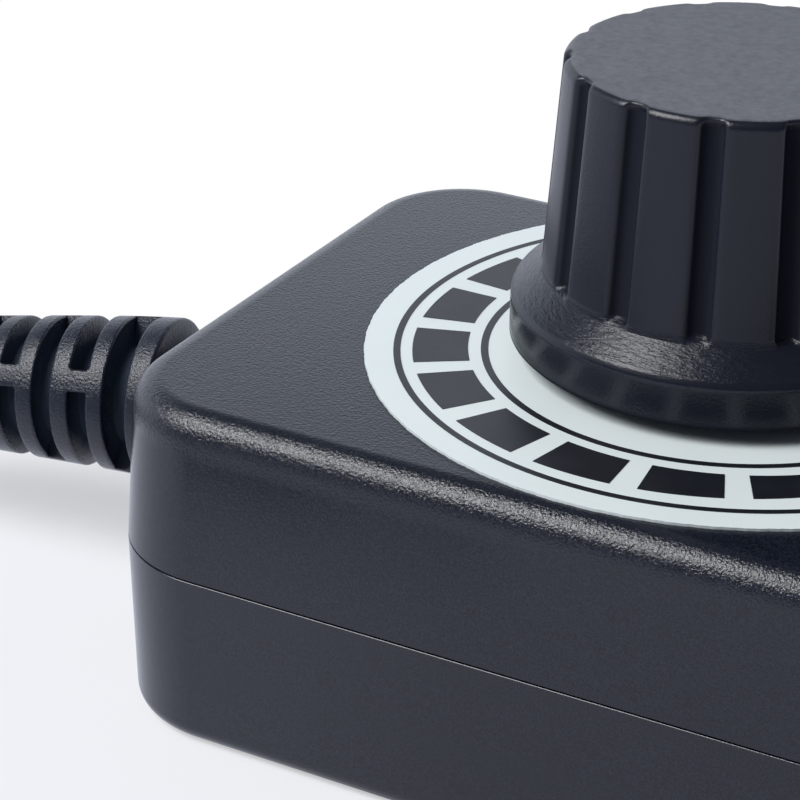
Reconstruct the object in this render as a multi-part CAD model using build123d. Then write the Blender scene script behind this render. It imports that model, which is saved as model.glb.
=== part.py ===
"""In-line rotary LED dimmer: a two-part housing, a fluted knob on a potentiometer, a socket and a lead.

Millimetres. The origin is the middle of the housing's underside.
+Z is up and +X points from the lead to the socket.
"""
import os
from math import radians, tan

from build123d import *

# Housing
BOX_LENGTH = 55.9
BOX_WIDTH = 38.2
BOX_HEIGHT = 19.85
PARTING_HEIGHT = 10.35
CORNER_RADIUS = 6.9
UPPER_DRAFT = 3.6
LOWER_DRAFT = 1.45
TOP_EDGE = 1.65
BOTTOM_EDGE = 1.1
WALL = 2.0
ROOF = 1.8
FLOOR = 1.8
SEAM_CHAMFER = 0.12
LIP_HEIGHT = 1.4
LIP_THICKNESS = 0.8
LIP_CLEARANCE = 0.1
CUT_PAST = 1.0

# Dial sticker: angles run anticlockwise from +X seen from above, rings are set in from the sticker's edge
KNOB_OFFSET = 3.15
LABEL_THICKNESS = 0.15
LABEL_FRONT_MARGIN = 0.05
LABEL_HOLE_MARGIN = 1.5
LABEL_START = 136.5
LABEL_SWEEP = 259.6
PRINT_THICKNESS = 0.03
OUTER_LINE = (1.72, 2.11)
BLOCK_RING = (2.95, 5.74)
INNER_LINE = (6.46, 6.90)
BLOCK_COUNT = 13
BLOCK_PITCH = 20.0
BLOCK_ANGLE = 15.0
BLOCK_FIRST = 146.3
LINE_MARGIN = 3.0

# Knob: heights above its own lower rim
KNOB_GAP = 0.9
KNOB_HEIGHT = 15.83
KNOB_TOP_RADIUS = 9.53
KNOB_WAIST_RADIUS = 10.35
KNOB_SKIRT_RADIUS = 11.95
KNOB_RIM_FILLET = 0.4
WAIST_HEIGHT = 3.9
BAND_HEIGHT = 2.2
SHOULDER = (0.35, 0.6)
BASE_CHAMFER = 0.2
GROOVE_COUNT = 14
GROOVE_WIDTH = 1.15
GROOVE_DEPTH = 0.55
GROOVE_END = 4.0
KNOB_WALL = 1.4
KNOB_CROWN = 3.0
HUB_WALL = 1.6
HUB_RIB = 1.0
HUB_RIB_COUNT = 4
HUB_GAP = 0.6

# Potentiometer
POT_CASE_RADIUS = 8.25
POT_CASE_WALL = 0.4
POT_CASE_DEPTH = 6.8
POT_PLATE = 0.8
BUSHING_WALL = 0.5
BUSHING_LENGTH = 6.5
BUSHING_CLEARANCE = 0.15
SHAFT_RADIUS = 3.0
SHAFT_FLAT = 1.5
SHAFT_ENGAGEMENT = 7.8
SHAFT_TAIL_STEP = 0.6
RUNNING_CLEARANCE = 0.05
SEAT_CLEARANCE = 0.05
WASHER_RADIUS = 6.0
WASHER_THICKNESS = 0.5
NUT_ACROSS_FLATS = 10.0
NUT_THICKNESS = 2.0
WAFER_CLEARANCE = 0.25
WAFER_THICKNESS = 1.2
WAFER_TAB_WIDTH = 13.0
WAFER_TAB_OVERHANG = 2.35
ROTOR_RADIUS = 5.6
ROTOR_THICKNESS = 1.6
WIPER_THICKNESS = 0.3
WIPER_RING = (0.4, 1.4)
WIPER_GAP = 0.7
WIPER_TIP_GAP = 0.15
WIPER_TIP_RADIUS = 0.4
WIPER_TIP_COUNT = 2
TERMINAL_PITCH = 5.0
TERMINAL_WIDTH = 1.2
TERMINAL_THICKNESS = 0.4
TERMINAL_FOOT = 1.6

# Circuit board and what stands on it
BOARD_END_GAP = 2.75
BOARD_SIDE_GAP = 1.25
BOARD_THICKNESS = 1.6
BOARD_CORNER = 1.5
STANDOFF = 1.8
POST_RADIUS = 2.2
POST_PIN_RADIUS = 1.0
POST_INSET = 3.4
POST_GAP = 0.1
HOLE_CLEARANCE = 0.15
PIN_LENGTH = 0.9
CAPACITOR_RADIUS = 4.0
CAPACITOR_EDGE = 0.5
CAPACITOR_GAP = 2.4
CAPACITOR_INSET = 5.6
HEAD_ROOM = 1.2
TRANSISTOR_BODY = (6.2, 6.6, 2.3)
TRANSISTOR_TAB = (2.6, 5.4, 0.5)
TRANSISTOR_GAP = 1.2
TRANSISTOR_INSET = 8.0
CHIP_BODY = (9.6, 6.4, 3.3)
CHIP_LEGS_A_SIDE = 4
CHIP_LEG_PITCH = 2.54
CHIP_LEG_ROW = 7.6
CHIP_LEG = (0.5, 0.25)
CHIP_LIFT = 0.5
CHIP_GAP = 0.8
CHIP_INSET = 4.8
DIODE_RADIUS = 1.35
DIODE_LENGTH = 5.2
DIODE_SPAN = 10.2
DIODE_WIRE = 0.4
DIODE_INSET = 10.0
DIODE_GAP = 1.4
RESISTOR_SIZE = (3.2, 1.6, 0.6)
RESISTOR_COUNT = 4
RESISTOR_PITCH = 4.2
RESISTOR_INSET = 2.4
CERAMIC_SIZE = (2.0, 1.25, 1.0)
CERAMIC_COUNT = 2
CERAMIC_PITCH = 3.2
CERAMIC_INSET = 3.4

# Socket in the right-hand end
JACK_LENGTH = 14.2
JACK_WIDTH = 9.0
JACK_HEIGHT = 10.8
JACK_AXIS = 6.4
JACK_RECESS = 0.8
JACK_CLEARANCE = 0.15
JACK_BORE_RADIUS = 3.15
JACK_BORE_DEPTH = 10.0
JACK_PIN_RADIUS = 1.0
JACK_PIN_LENGTH = 8.6
JACK_SPRING = (0.35, 2.2, 6.0)

# Lead, strain relief and barrel plug
LEAD_DIAMETER = 4.0
FLOOR_CLEARANCE = 0.1
BEND_SHARE = 0.45
WIRE_RADIUS = 0.7
WIRE_BEND = 3.2
WIRE_REACH = 1.0
RELIEF_LENGTH = 26.0
RELIEF_ROOT_RADIUS = 5.35
RELIEF_TIP_RADIUS = 3.5
RELIEF_SKIN = 1.0
RELIEF_NECK_SKIN = 2.0
RELIEF_FLANGE_STEP = 1.2
RELIEF_FLANGE = 1.1
RELIEF_CLEARANCE = 0.05
RELIEF_COLLAR = 3.5
SLOT_FIRST = 1.52
SLOT_PITCH = 2.215
SLOT_WIDTH = 1.05
SLOT_BRIDGE = 1.45
BRIDGE_STEP = 0.05
RELIEF_TURN = 33.0
PLUG_GRIP_RADIUS = 4.7
PLUG_TAIL_RADIUS = 2.7
PLUG_TAIL_LENGTH = 8.0
PLUG_LENGTH = 21.0
PLUG_EDGE = 0.6
SLEEVE_RADIUS = 2.75
SLEEVE_WALL = 0.4
SLEEVE_LENGTH = 9.5
INSULATOR_STEP = 0.6
CONTACT_BORE_RADIUS = 1.05
CONTACT_WALL = 0.25
PLUG_CLEARANCE = 0.03

# Places that follow from the sizes above
inner_length = BOX_LENGTH - 2 * WALL
inner_width = BOX_WIDTH - 2 * WALL
inner_corner = CORNER_RADIUS - WALL
board_length = inner_length - 2 * BOARD_END_GAP
board_width = inner_width - 2 * BOARD_SIDE_GAP
ceiling = BOX_HEIGHT - ROOF
top_inset = (BOX_HEIGHT - PARTING_HEIGHT) * tan(radians(UPPER_DRAFT)) + TOP_EDGE
label_outer = BOX_WIDTH / 2 + KNOB_OFFSET - top_inset - LABEL_FRONT_MARGIN
label_inner = WASHER_RADIUS + LABEL_HOLE_MARGIN
dial_height = BOX_HEIGHT + LABEL_THICKNESS
knob_axis = Pos(0, KNOB_OFFSET, 0)
knob_bottom = dial_height + KNOB_GAP
flare_height = BAND_HEIGHT + SHOULDER[1]
flare_radius = KNOB_SKIRT_RADIUS - SHOULDER[0]
hub_radius = SHAFT_RADIUS + HUB_WALL
bushing_radius = SHAFT_RADIUS + RUNNING_CLEARANCE + BUSHING_WALL
shaft_tail_radius = SHAFT_RADIUS - SHAFT_TAIL_STEP
wafer_radius = POT_CASE_RADIUS - POT_CASE_WALL - WAFER_CLEARANCE
wafer_tab_reach = POT_CASE_RADIUS + WAFER_TAB_OVERHANG
plate_bottom = ceiling - POT_PLATE
wafer_bottom = plate_bottom - WAFER_THICKNESS
rotor_top = wafer_bottom - WIPER_GAP
rotor_bottom = rotor_top - ROTOR_THICKNESS
bushing_top = ceiling + BUSHING_LENGTH
hub_bottom = bushing_top + HUB_GAP
shaft_top = hub_bottom + SHAFT_ENGAGEMENT
board_bottom = FLOOR + STANDOFF
board_top = board_bottom + BOARD_THICKNESS
terminal_row = KNOB_OFFSET - wafer_tab_reach + TERMINAL_WIDTH
post_x = board_length / 2 - POST_INSET
post_y = board_width / 2 - POST_INSET
posts = GridLocations(2 * post_x, 2 * post_y, 2, 2)
jack_front = BOX_LENGTH / 2 - JACK_RECESS
jack_middle = board_top + JACK_AXIS
relief_wall = BOX_LENGTH / 2
relief_core = LEAD_DIAMETER / 2 + RELIEF_SKIN
relief_neck = LEAD_DIAMETER / 2 + RELIEF_NECK_SKIN
relief_flange = relief_neck + RELIEF_FLANGE_STEP
flange_face = BOX_LENGTH / 2 - WALL - relief_flange * tan(radians(UPPER_DRAFT)) - RELIEF_CLEARANCE
lead_start = flange_face - RELIEF_FLANGE

# The lead's route: how far out from the left wall, how far across, and how high the middle of the lead lies
lead_on_floor = LEAD_DIAMETER / 2 + FLOOR_CLEARANCE
plug_height = PLUG_GRIP_RADIUS
LEAD_ROUTE = [
    (lead_start - relief_wall, 0.0, PARTING_HEIGHT),
    (3.25, 0.0, PARTING_HEIGHT),
    (15.4, -3.0, 9.85),
    (35.3, -5.1, 7.4),
    (54.0, -12.0, 3.4),
    (62.7, -28.3, lead_on_floor),
    (57.6, -46.1, lead_on_floor),
    (41.6, -55.3, plug_height),
    (24.6, -55.3, plug_height),
]
route = [Vector(-relief_wall - out, across, height) for out, across, height in LEAD_ROUTE]


def tub(length, width, corner, height, draft):
    """A rounded rectangle drawn upwards, each side leaning in by the draft angle."""
    return extrude(RectangleRounded(length, width, corner), height, taper=draft)


def rod(radius, bottom, top):
    """An upright cylinder between two heights."""
    return Pos(0, 0, bottom) * Cylinder(radius, top - bottom, align=(Align.CENTER, Align.CENTER, Align.MIN))


def tube(outer, inner, bottom, top):
    """An upright ring between two heights."""
    return extrude(Pos(0, 0, bottom) * (Circle(outer) - Circle(inner)), top - bottom)


def block(size, at, bottom):
    """A box of a given size that stands at a height."""
    return Pos(at[0], at[1], bottom) * Box(*size, align=(Align.CENTER, Align.CENTER, Align.MIN))


def end_hole(radius, x_from, x_to, height):
    """A cylinder along X through an end wall."""
    return Pos((x_from + x_to) / 2, 0, height) * Rot(0, 90, 0) * Cylinder(radius, abs(x_to - x_from))


def sector(inner, outer, start, sweep_angle):
    """A flat piece of a ring, between two angles."""
    wide = Circle(outer) - Circle(inner)
    edge = 2 * outer
    if sweep_angle > 180:
        gap = make_face(Polyline((0, 0), Vector(edge, 0).rotate(Axis.Z, start + sweep_angle),
                                 Vector(edge, 0).rotate(Axis.Z, (2 * start + sweep_angle + 360) / 2),
                                 Vector(edge, 0).rotate(Axis.Z, start), close=True))
        return wide - gap
    wedge = make_face(Polyline((0, 0), Vector(edge, 0).rotate(Axis.Z, start),
                               Vector(edge, 0).rotate(Axis.Z, start + sweep_angle), close=True))
    return wide & wedge


def housing_cuts():
    """What passes through the end walls: the relief's neck on the left and the socket on the right."""
    neck = end_hole(relief_neck + RELIEF_CLEARANCE, -relief_wall - CUT_PAST, -flange_face, PARTING_HEIGHT)
    window = Pos(BOX_LENGTH / 2, 0, board_top - JACK_CLEARANCE) * Box(
        2 * JACK_LENGTH, JACK_WIDTH + 2 * JACK_CLEARANCE, JACK_HEIGHT + 2 * JACK_CLEARANCE,
        align=(Align.CENTER, Align.CENTER, Align.MIN))
    return neck + window


def top_shell():
    """Upper half: drafted walls, a rounded top edge, a rebate for the lower lip and posts over the board."""
    rise = BOX_HEIGHT - PARTING_HEIGHT
    outside = tub(BOX_LENGTH, BOX_WIDTH, CORNER_RADIUS, rise, UPPER_DRAFT)
    outside = fillet(outside.faces().sort_by(Axis.Z)[-1].edges(), TOP_EDGE)
    outside = chamfer(outside.faces().sort_by(Axis.Z)[0].edges(), SEAM_CHAMFER)
    inside = tub(inner_length, inner_width, inner_corner, rise - ROOF, UPPER_DRAFT)
    step = 2 * (LIP_THICKNESS + LIP_CLEARANCE)
    rebate = extrude(RectangleRounded(inner_length + step, inner_width + step, inner_corner + step / 2),
                     LIP_HEIGHT + LIP_CLEARANCE)
    shell = Pos(0, 0, PARTING_HEIGHT) * (outside - inside - rebate)
    shell += posts * rod(POST_RADIUS, board_top + PIN_LENGTH + POST_GAP, ceiling + ROOF / 2)
    shell -= knob_axis * rod(bushing_radius + BUSHING_CLEARANCE, ceiling - CUT_PAST, BOX_HEIGHT + CUT_PAST)
    return shell - housing_cuts()


def bottom_shell():
    """Lower half: a drafted tray with a lip round its mouth and pinned posts under the board."""
    outside = tub(BOX_LENGTH, BOX_WIDTH, CORNER_RADIUS, PARTING_HEIGHT, LOWER_DRAFT)
    outside = fillet(outside.faces().sort_by(Axis.Z)[-1].edges(), BOTTOM_EDGE)
    outside = chamfer(outside.faces().sort_by(Axis.Z)[0].edges(), SEAM_CHAMFER)
    inside = tub(inner_length, inner_width, inner_corner, PARTING_HEIGHT - FLOOR, LOWER_DRAFT)
    tray = Pos(0, 0, PARTING_HEIGHT) * Rot(180, 0, 0) * (outside - inside)
    mouth = RectangleRounded(inner_length, inner_width, inner_corner)
    lip_length, lip_width = inner_length + 2 * LIP_THICKNESS, inner_width + 2 * LIP_THICKNESS
    lip = RectangleRounded(lip_length, lip_width, inner_corner + LIP_THICKNESS) - mouth
    tray += extrude(Pos(0, 0, PARTING_HEIGHT) * lip, LIP_HEIGHT)
    tray += posts * rod(POST_RADIUS, FLOOR / 2, board_bottom)
    tray += posts * rod(POST_PIN_RADIUS, FLOOR / 2, board_top + PIN_LENGTH)
    return tray - housing_cuts()


def dial_label():
    """White C-shaped sticker, open at the back where the top face ends."""
    flat = sector(label_inner, label_outer, LABEL_START, LABEL_SWEEP)
    return knob_axis * Pos(0, 0, BOX_HEIGHT) * extrude(flat, LABEL_THICKNESS)


def dial_print():
    """Black ink on the sticker: two thin rings and the blocks between them."""
    flats = []
    for outer, inner in (OUTER_LINE, INNER_LINE):
        line_start = LABEL_START + LINE_MARGIN
        line_sweep = LABEL_SWEEP - 2 * LINE_MARGIN
        flats.append(sector(label_outer - inner, label_outer - outer, line_start, line_sweep))
    for index in range(BLOCK_COUNT):
        start = BLOCK_FIRST + index * BLOCK_PITCH - BLOCK_ANGLE / 2
        flats.append(sector(label_outer - BLOCK_RING[1], label_outer - BLOCK_RING[0], start, BLOCK_ANGLE))
    place = knob_axis * Pos(0, 0, dial_height)
    return Compound(children=[place * extrude(flat, PRINT_THICKNESS) for flat in flats])


def knob_outline():
    """Half section of the knob's outside: skirt band, round shoulder, sloping flare, leaning body, crown."""
    base = Polyline((0, 0), (KNOB_SKIRT_RADIUS - BASE_CHAMFER, 0), (KNOB_SKIRT_RADIUS, BASE_CHAMFER),
                    (KNOB_SKIRT_RADIUS, BAND_HEIGHT))
    shoulder = TangentArc((KNOB_SKIRT_RADIUS, BAND_HEIGHT), (flare_radius, flare_height), tangent=(0, 1))
    body = Polyline((flare_radius, flare_height), (KNOB_WAIST_RADIUS, WAIST_HEIGHT),
                    (KNOB_TOP_RADIUS, KNOB_HEIGHT), (0, KNOB_HEIGHT), (0, 0))
    return make_face(base.edges() + shoulder.edges() + body.edges())


def knob_groove():
    """One flute: a narrow flat-bottomed channel that follows the body's lean and stops above the flare."""
    lean = (KNOB_WAIST_RADIUS - KNOB_TOP_RADIUS) / (KNOB_HEIGHT - WAIST_HEIGHT)
    clear = KNOB_SKIRT_RADIUS
    top = KNOB_HEIGHT + CUT_PAST
    bed_top = KNOB_TOP_RADIUS - GROOVE_DEPTH - lean * CUT_PAST
    bed_end = KNOB_TOP_RADIUS - GROOVE_DEPTH + lean * (KNOB_HEIGHT - GROOVE_END)
    channel = make_face(Polyline((bed_top, top), (clear, top), (clear, GROOVE_END), (bed_end, GROOVE_END),
                                 close=True))
    return extrude(Plane.XZ * channel, GROOVE_WIDTH / 2, both=True)


def shaft_section(extra):
    """Round with one flat, larger all round by a clearance."""
    reach = 2 * SHAFT_RADIUS
    flat = Pos(0, SHAFT_FLAT + extra + reach / 2) * Rectangle(2 * reach, reach)
    return Circle(SHAFT_RADIUS + extra) - flat


def knob():
    """Fluted press-on knob: hollow underneath, with a ribbed hub that takes the shaft."""
    body = revolve(Plane.XZ * knob_outline(), Axis.Z)
    rim = body.edges().filter_by(GeomType.CIRCLE).sort_by(Axis.Z)[-1]
    body = fillet(rim, KNOB_RIM_FILLET)
    body -= PolarLocations(0, GROOVE_COUNT) * knob_groove()
    roof = KNOB_HEIGHT - KNOB_CROWN
    hub_foot = hub_bottom - knob_bottom
    skin = GROOVE_DEPTH + KNOB_WALL
    waist = KNOB_WAIST_RADIUS - skin
    hollow = make_face(Polyline((0, 0), (waist, 0), (waist, WAIST_HEIGHT), (KNOB_TOP_RADIUS - skin, roof),
                                (hub_radius, roof), (hub_radius, hub_foot), (0, hub_foot), close=True))
    body -= revolve(Plane.XZ * hollow, Axis.Z)
    rib_reach = KNOB_TOP_RADIUS - GROOVE_DEPTH - KNOB_WALL / 2
    rib_height = (roof - hub_foot) / 2
    rib_length = rib_reach - hub_radius + KNOB_WALL
    rib = Pos((hub_radius + rib_reach) / 2, 0, roof) * Box(
        rib_length, HUB_RIB, rib_height, align=(Align.CENTER, Align.CENTER, Align.MAX))
    body += PolarLocations(0, HUB_RIB_COUNT) * rib
    bore_length = SHAFT_ENGAGEMENT + SEAT_CLEARANCE + CUT_PAST
    bore = extrude(Pos(0, 0, hub_foot - CUT_PAST) * shaft_section(SEAT_CLEARANCE), bore_length)
    return knob_axis * Pos(0, 0, knob_bottom) * (body - bore)


def pot_bushing():
    """Die-cast plate against the ceiling, with the bushing up through the top."""
    plate = rod(POT_CASE_RADIUS, plate_bottom, ceiling) + rod(bushing_radius, plate_bottom, bushing_top)
    bore = rod(SHAFT_RADIUS + RUNNING_CLEARANCE, plate_bottom - CUT_PAST, bushing_top + CUT_PAST)
    return knob_axis * (plate - bore)


def pot_washer():
    """Flat washer on the top shell."""
    hole = bushing_radius + BUSHING_CLEARANCE
    return knob_axis * tube(WASHER_RADIUS, hole, BOX_HEIGHT, BOX_HEIGHT + WASHER_THICKNESS)


def pot_nut():
    """Thin hexagon nut that clamps the top shell to the plate."""
    foot = BOX_HEIGHT + WASHER_THICKNESS
    hexagon = RegularPolygon(NUT_ACROSS_FLATS / 2, 6, major_radius=False)
    hexagon -= Circle(bushing_radius + SEAT_CLEARANCE)
    return knob_axis * Pos(0, 0, foot) * extrude(hexagon, NUT_THICKNESS)


def pot_shaft():
    """Turned shaft: flat on the knob end, a thinner tail that is staked into the rotor."""
    flat_start = bushing_top + HUB_GAP / 2
    shaft = rod(SHAFT_RADIUS, rotor_top, flat_start)
    shaft += extrude(Pos(0, 0, flat_start) * shaft_section(0), shaft_top - flat_start)
    return knob_axis * (shaft + rod(shaft_tail_radius, rotor_bottom, rotor_top))


def pot_wafer():
    """Resistive element board with the tab that carries the terminals."""
    hole = SHAFT_RADIUS + BUSHING_CLEARANCE
    tab = Pos(0, -wafer_tab_reach / 2) * Rectangle(WAFER_TAB_WIDTH, wafer_tab_reach)
    flat = Circle(wafer_radius) + tab - Circle(hole)
    return knob_axis * Pos(0, 0, wafer_bottom) * extrude(flat, WAFER_THICKNESS)


def pot_rotor():
    """Wiper carrier on the shaft's tail."""
    return knob_axis * tube(ROTOR_RADIUS, shaft_tail_radius + SEAT_CLEARANCE, rotor_bottom, rotor_top)


def pot_wiper():
    """Brass spring ring on the rotor with two contact tips towards the element."""
    inner, outer = (SHAFT_RADIUS + reach for reach in WIPER_RING)
    ring = tube(outer, inner, rotor_top, rotor_top + WIPER_THICKNESS)
    middle = SHAFT_RADIUS + sum(WIPER_RING) / 2
    tip_foot = rotor_top + WIPER_THICKNESS / 2
    tip = Pos(middle, 0, 0) * rod(WIPER_TIP_RADIUS, tip_foot, wafer_bottom - WIPER_TIP_GAP)
    return knob_axis * (ring + PolarLocations(0, WIPER_TIP_COUNT) * tip)


def pot_case():
    """Drawn cup behind the wafer, notched for the terminal tab."""
    floor = plate_bottom - POT_CASE_DEPTH
    cup = rod(POT_CASE_RADIUS, floor, plate_bottom)
    cup -= rod(POT_CASE_RADIUS - POT_CASE_WALL, floor + POT_CASE_WALL, plate_bottom + CUT_PAST)
    notch_height = WAFER_THICKNESS + TERMINAL_THICKNESS + SEAT_CLEARANCE
    notch = Pos(0, -POT_CASE_RADIUS, plate_bottom - notch_height) * Box(
        WAFER_TAB_WIDTH + 2 * SEAT_CLEARANCE, POT_CASE_RADIUS, notch_height + CUT_PAST,
        align=(Align.CENTER, Align.CENTER, Align.MIN))
    return knob_axis * (cup - notch)


def terminal_places():
    """Where the three terminals come down to the board."""
    return [Pos(x, terminal_row, 0) for x in (-TERMINAL_PITCH, 0, TERMINAL_PITCH)]


def pot_terminals():
    """Three tinned legs under the tab, each bent down through the board."""
    foot = board_bottom - PIN_LENGTH
    leg = block((TERMINAL_WIDTH, TERMINAL_THICKNESS, wafer_bottom - foot), (0, 0), foot)
    pad = Pos(0, 0, wafer_bottom) * Box(TERMINAL_WIDTH, TERMINAL_FOOT, TERMINAL_THICKNESS,
                                        align=(Align.CENTER, Align.MIN, Align.MAX))
    return Compound(children=[place * (leg + pad) for place in terminal_places()])


def circuit_board():
    """Board on the lower posts, drilled for their pins and for the terminals."""
    flat = RectangleRounded(board_length, board_width, BOARD_CORNER)
    flat -= posts * Circle(POST_PIN_RADIUS + HOLE_CLEARANCE)
    for place in terminal_places():
        flat -= place * Circle(TERMINAL_WIDTH / 2 + HOLE_CLEARANCE)
    return Pos(0, 0, board_bottom) * extrude(flat, BOARD_THICKNESS)


def reservoir_capacitor():
    """Can capacitor, as tall as the room under the ceiling lets it be."""
    top = ceiling - HEAD_ROOM
    can = rod(CAPACITOR_RADIUS, board_top, top)
    can = fillet(can.edges().sort_by(Axis.Z)[-1], CAPACITOR_EDGE)
    x = -post_x + POST_RADIUS + CAPACITOR_GAP + CAPACITOR_RADIUS
    return Pos(x, CAPACITOR_INSET - board_width / 2, 0) * can


def power_transistor():
    """Flat power package with its cooling tab on the board."""
    body = block(TRANSISTOR_BODY, (0, 0), board_top)
    body = chamfer(body.faces().sort_by(Axis.Z)[-1].edges(), TRANSISTOR_TAB[2] / 2)
    body += block(TRANSISTOR_TAB, ((TRANSISTOR_BODY[0] + TRANSISTOR_TAB[0]) / 2, 0), board_top)
    x = -post_x + POST_RADIUS + TRANSISTOR_GAP + TRANSISTOR_BODY[0] / 2
    return Pos(x, board_width / 2 - TRANSISTOR_INSET, 0) * body


def timer_chip():
    """Eight-legged timer package."""
    body = block(CHIP_BODY, (0, 0), board_top + CHIP_LIFT)
    body = chamfer(body.faces().sort_by(Axis.Z)[-1].edges(), CHIP_LIFT)
    middle = board_top + CHIP_LIFT + CHIP_BODY[2] / 2
    thick, plate = CHIP_LEG
    shoulder_reach = (CHIP_LEG_ROW - CHIP_BODY[1]) / 2 + plate
    for side in (-1, 1):
        for index in range(CHIP_LEGS_A_SIDE):
            x = (index - (CHIP_LEGS_A_SIDE - 1) / 2) * CHIP_LEG_PITCH
            body += block((thick, plate, middle - board_top), (x, side * CHIP_LEG_ROW / 2), board_top)
            shoulder_at = side * (CHIP_LEG_ROW / 2 + plate / 2 - shoulder_reach / 2)
            body += block((thick, shoulder_reach, plate), (x, shoulder_at), middle - plate)
    x = post_x - POST_RADIUS - CHIP_GAP - CHIP_BODY[0] / 2
    return Pos(x, CHIP_INSET - board_width / 2, 0) * body


def blocking_diode():
    """Axial diode lying on the board, its wires bent down to the pads."""
    height = board_top + DIODE_RADIUS
    body = Pos(0, 0, height) * Rot(0, 90, 0) * Cylinder(DIODE_RADIUS, DIODE_LENGTH)
    wire = Pos(0, 0, height) * Rot(0, 90, 0) * Cylinder(DIODE_WIRE, DIODE_SPAN)
    drop = rod(DIODE_WIRE, board_top, height + DIODE_WIRE)
    ends = [Pos(side * DIODE_SPAN / 2, 0, 0) * drop for side in (-1, 1)]
    place = Pos(board_length / 2 - DIODE_INSET, JACK_WIDTH / 2 + DIODE_GAP + DIODE_RADIUS, 0)
    return place * (body + wire + ends[0] + ends[1])


def part_row(size, count, pitch, across):
    """A row of equal small blocks on the board, centred along its length."""
    first = -(count - 1) / 2 * pitch
    spots = [(first + index * pitch, across) for index in range(count)]
    return Compound(children=[block(size, spot, board_top) for spot in spots])


def chip_resistors():
    """A row of flat resistors near the back edge."""
    return part_row(RESISTOR_SIZE, RESISTOR_COUNT, RESISTOR_PITCH, board_width / 2 - RESISTOR_INSET)


def ceramic_capacitors():
    """Two small ceramic blocks near the front edge."""
    return part_row(CERAMIC_SIZE, CERAMIC_COUNT, CERAMIC_PITCH, CERAMIC_INSET - board_width / 2)


def jack_body():
    """Moulded socket that stands on the board, its mouth in the end wall's window."""
    body = Pos(jack_front, 0, board_top) * Box(JACK_LENGTH, JACK_WIDTH, JACK_HEIGHT,
                                               align=(Align.MAX, Align.CENTER, Align.MIN))
    bore = end_hole(JACK_BORE_RADIUS, jack_front - JACK_BORE_DEPTH, jack_front + CUT_PAST, jack_middle)
    slot = Pos(jack_front - JACK_BORE_DEPTH, 0, jack_middle - JACK_BORE_RADIUS) * Box(
        JACK_SPRING[2] + CUT_PAST, JACK_SPRING[1] + 2 * SEAT_CLEARANCE, 2 * JACK_SPRING[0] + SEAT_CLEARANCE,
        align=(Align.MIN, Align.CENTER, Align.CENTER))
    return body - bore - slot


def jack_pin():
    """Centre pin with a rounded tip, standing on the bottom of the bore."""
    foot = jack_front - JACK_BORE_DEPTH
    pin = Rot(0, 90, 0) * rod(JACK_PIN_RADIUS, 0, JACK_PIN_LENGTH)
    pin = fillet(pin.edges().filter_by(GeomType.CIRCLE).sort_by(Axis.X)[-1], JACK_PIN_RADIUS / 2)
    return Pos(foot, 0, jack_middle) * pin


def jack_spring():
    """Flat contact strip in the floor of the bore."""
    thick, wide, length = JACK_SPRING
    floor = jack_middle - JACK_BORE_RADIUS - thick - SEAT_CLEARANCE / 2
    return Pos(jack_front - JACK_BORE_DEPTH, 0, floor) * Box(length, wide, thick,
                                                             align=(Align.MIN, Align.CENTER, Align.MIN))


def corner_radii(points):
    """The largest even bend at each inner point of the lead's route."""
    radii = []
    for before, here, after in zip(points, points[1:], points[2:]):
        shorter = min((here - before).length, (after - here).length)
        turn = (here - before).get_angle(after - here)
        radii.append(BEND_SHARE * shorter / tan(radians(turn / 2)))
    return radii


def along(path, radius):
    """A round bar along straight runs and tangent arcs."""
    section = Plane(path @ 0, z_dir=path % 0) * Circle(radius)
    return sweep(section, path=path)


lead_radii = corner_radii(route)
lead_line = FilletPolyline(*route, radius=lead_radii)
lead_inside = relief_wall - lead_start


def strain_relief():
    """Moulded relief: a flange inside the wall, a neck through it and tapering ribs joined by bridges.

    Slots alternate: one has its bridges above and below, the next has them in front and behind,
    all of them turned up a little at the front.
    """

    def share(distance):
        return (distance + lead_inside) / lead_line.length

    def station(distance):
        forward = lead_line % share(distance)
        side = forward.cross(Vector(0, 0, 1))
        return Plane(lead_line @ share(distance), x_dir=side, z_dir=forward).location

    def radius_at(distance):
        return RELIEF_ROOT_RADIUS - (RELIEF_ROOT_RADIUS - RELIEF_TIP_RADIUS) * distance / RELIEF_LENGTH

    def rib(start, end):
        return station((start + end) / 2) * Cone(radius_at(start), radius_at(end), end - start)

    slot_count = 1 + int((RELIEF_LENGTH - RELIEF_COLLAR - SLOT_FIRST) / SLOT_PITCH)
    slots = [SLOT_FIRST + index * SLOT_PITCH for index in range(slot_count)]
    starts = [RELIEF_CLEARANCE] + [slot + SLOT_WIDTH / 2 for slot in slots]
    ends = [slot - SLOT_WIDTH / 2 for slot in slots] + [RELIEF_LENGTH]
    pieces = [rib(start, end) for start, end in zip(starts, ends)]
    for index, slot in enumerate(slots):
        wide = 2 * RELIEF_ROOT_RADIUS
        across = (wide, SLOT_BRIDGE) if index % 2 == 0 else (SLOT_BRIDGE, wide)
        disc = Cylinder(radius_at(slot + SLOT_PITCH / 2) - BRIDGE_STEP, SLOT_PITCH)
        pieces.append(station(slot) * Rot(0, 0, RELIEF_TURN) * (disc & Box(*across, SLOT_PITCH)))
    collar_middle = RELIEF_LENGTH - RELIEF_COLLAR / 2
    body = along(lead_line.trim(0, share(collar_middle)), relief_core) + pieces
    body += end_hole(relief_neck, -relief_wall - SLOT_FIRST / 2, -flange_face, PARTING_HEIGHT)
    body += end_hole(relief_flange, -flange_face, -lead_start, PARTING_HEIGHT)
    bore_line = lead_line.trim(0, share(RELIEF_LENGTH + RELIEF_COLLAR))
    return body - along(bore_line, LEAD_DIAMETER / 2 + SEAT_CLEARANCE)


def lead_cord():
    """The lead's jacket, from inside the housing to the plug."""
    return along(lead_line, LEAD_DIAMETER / 2)


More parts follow.
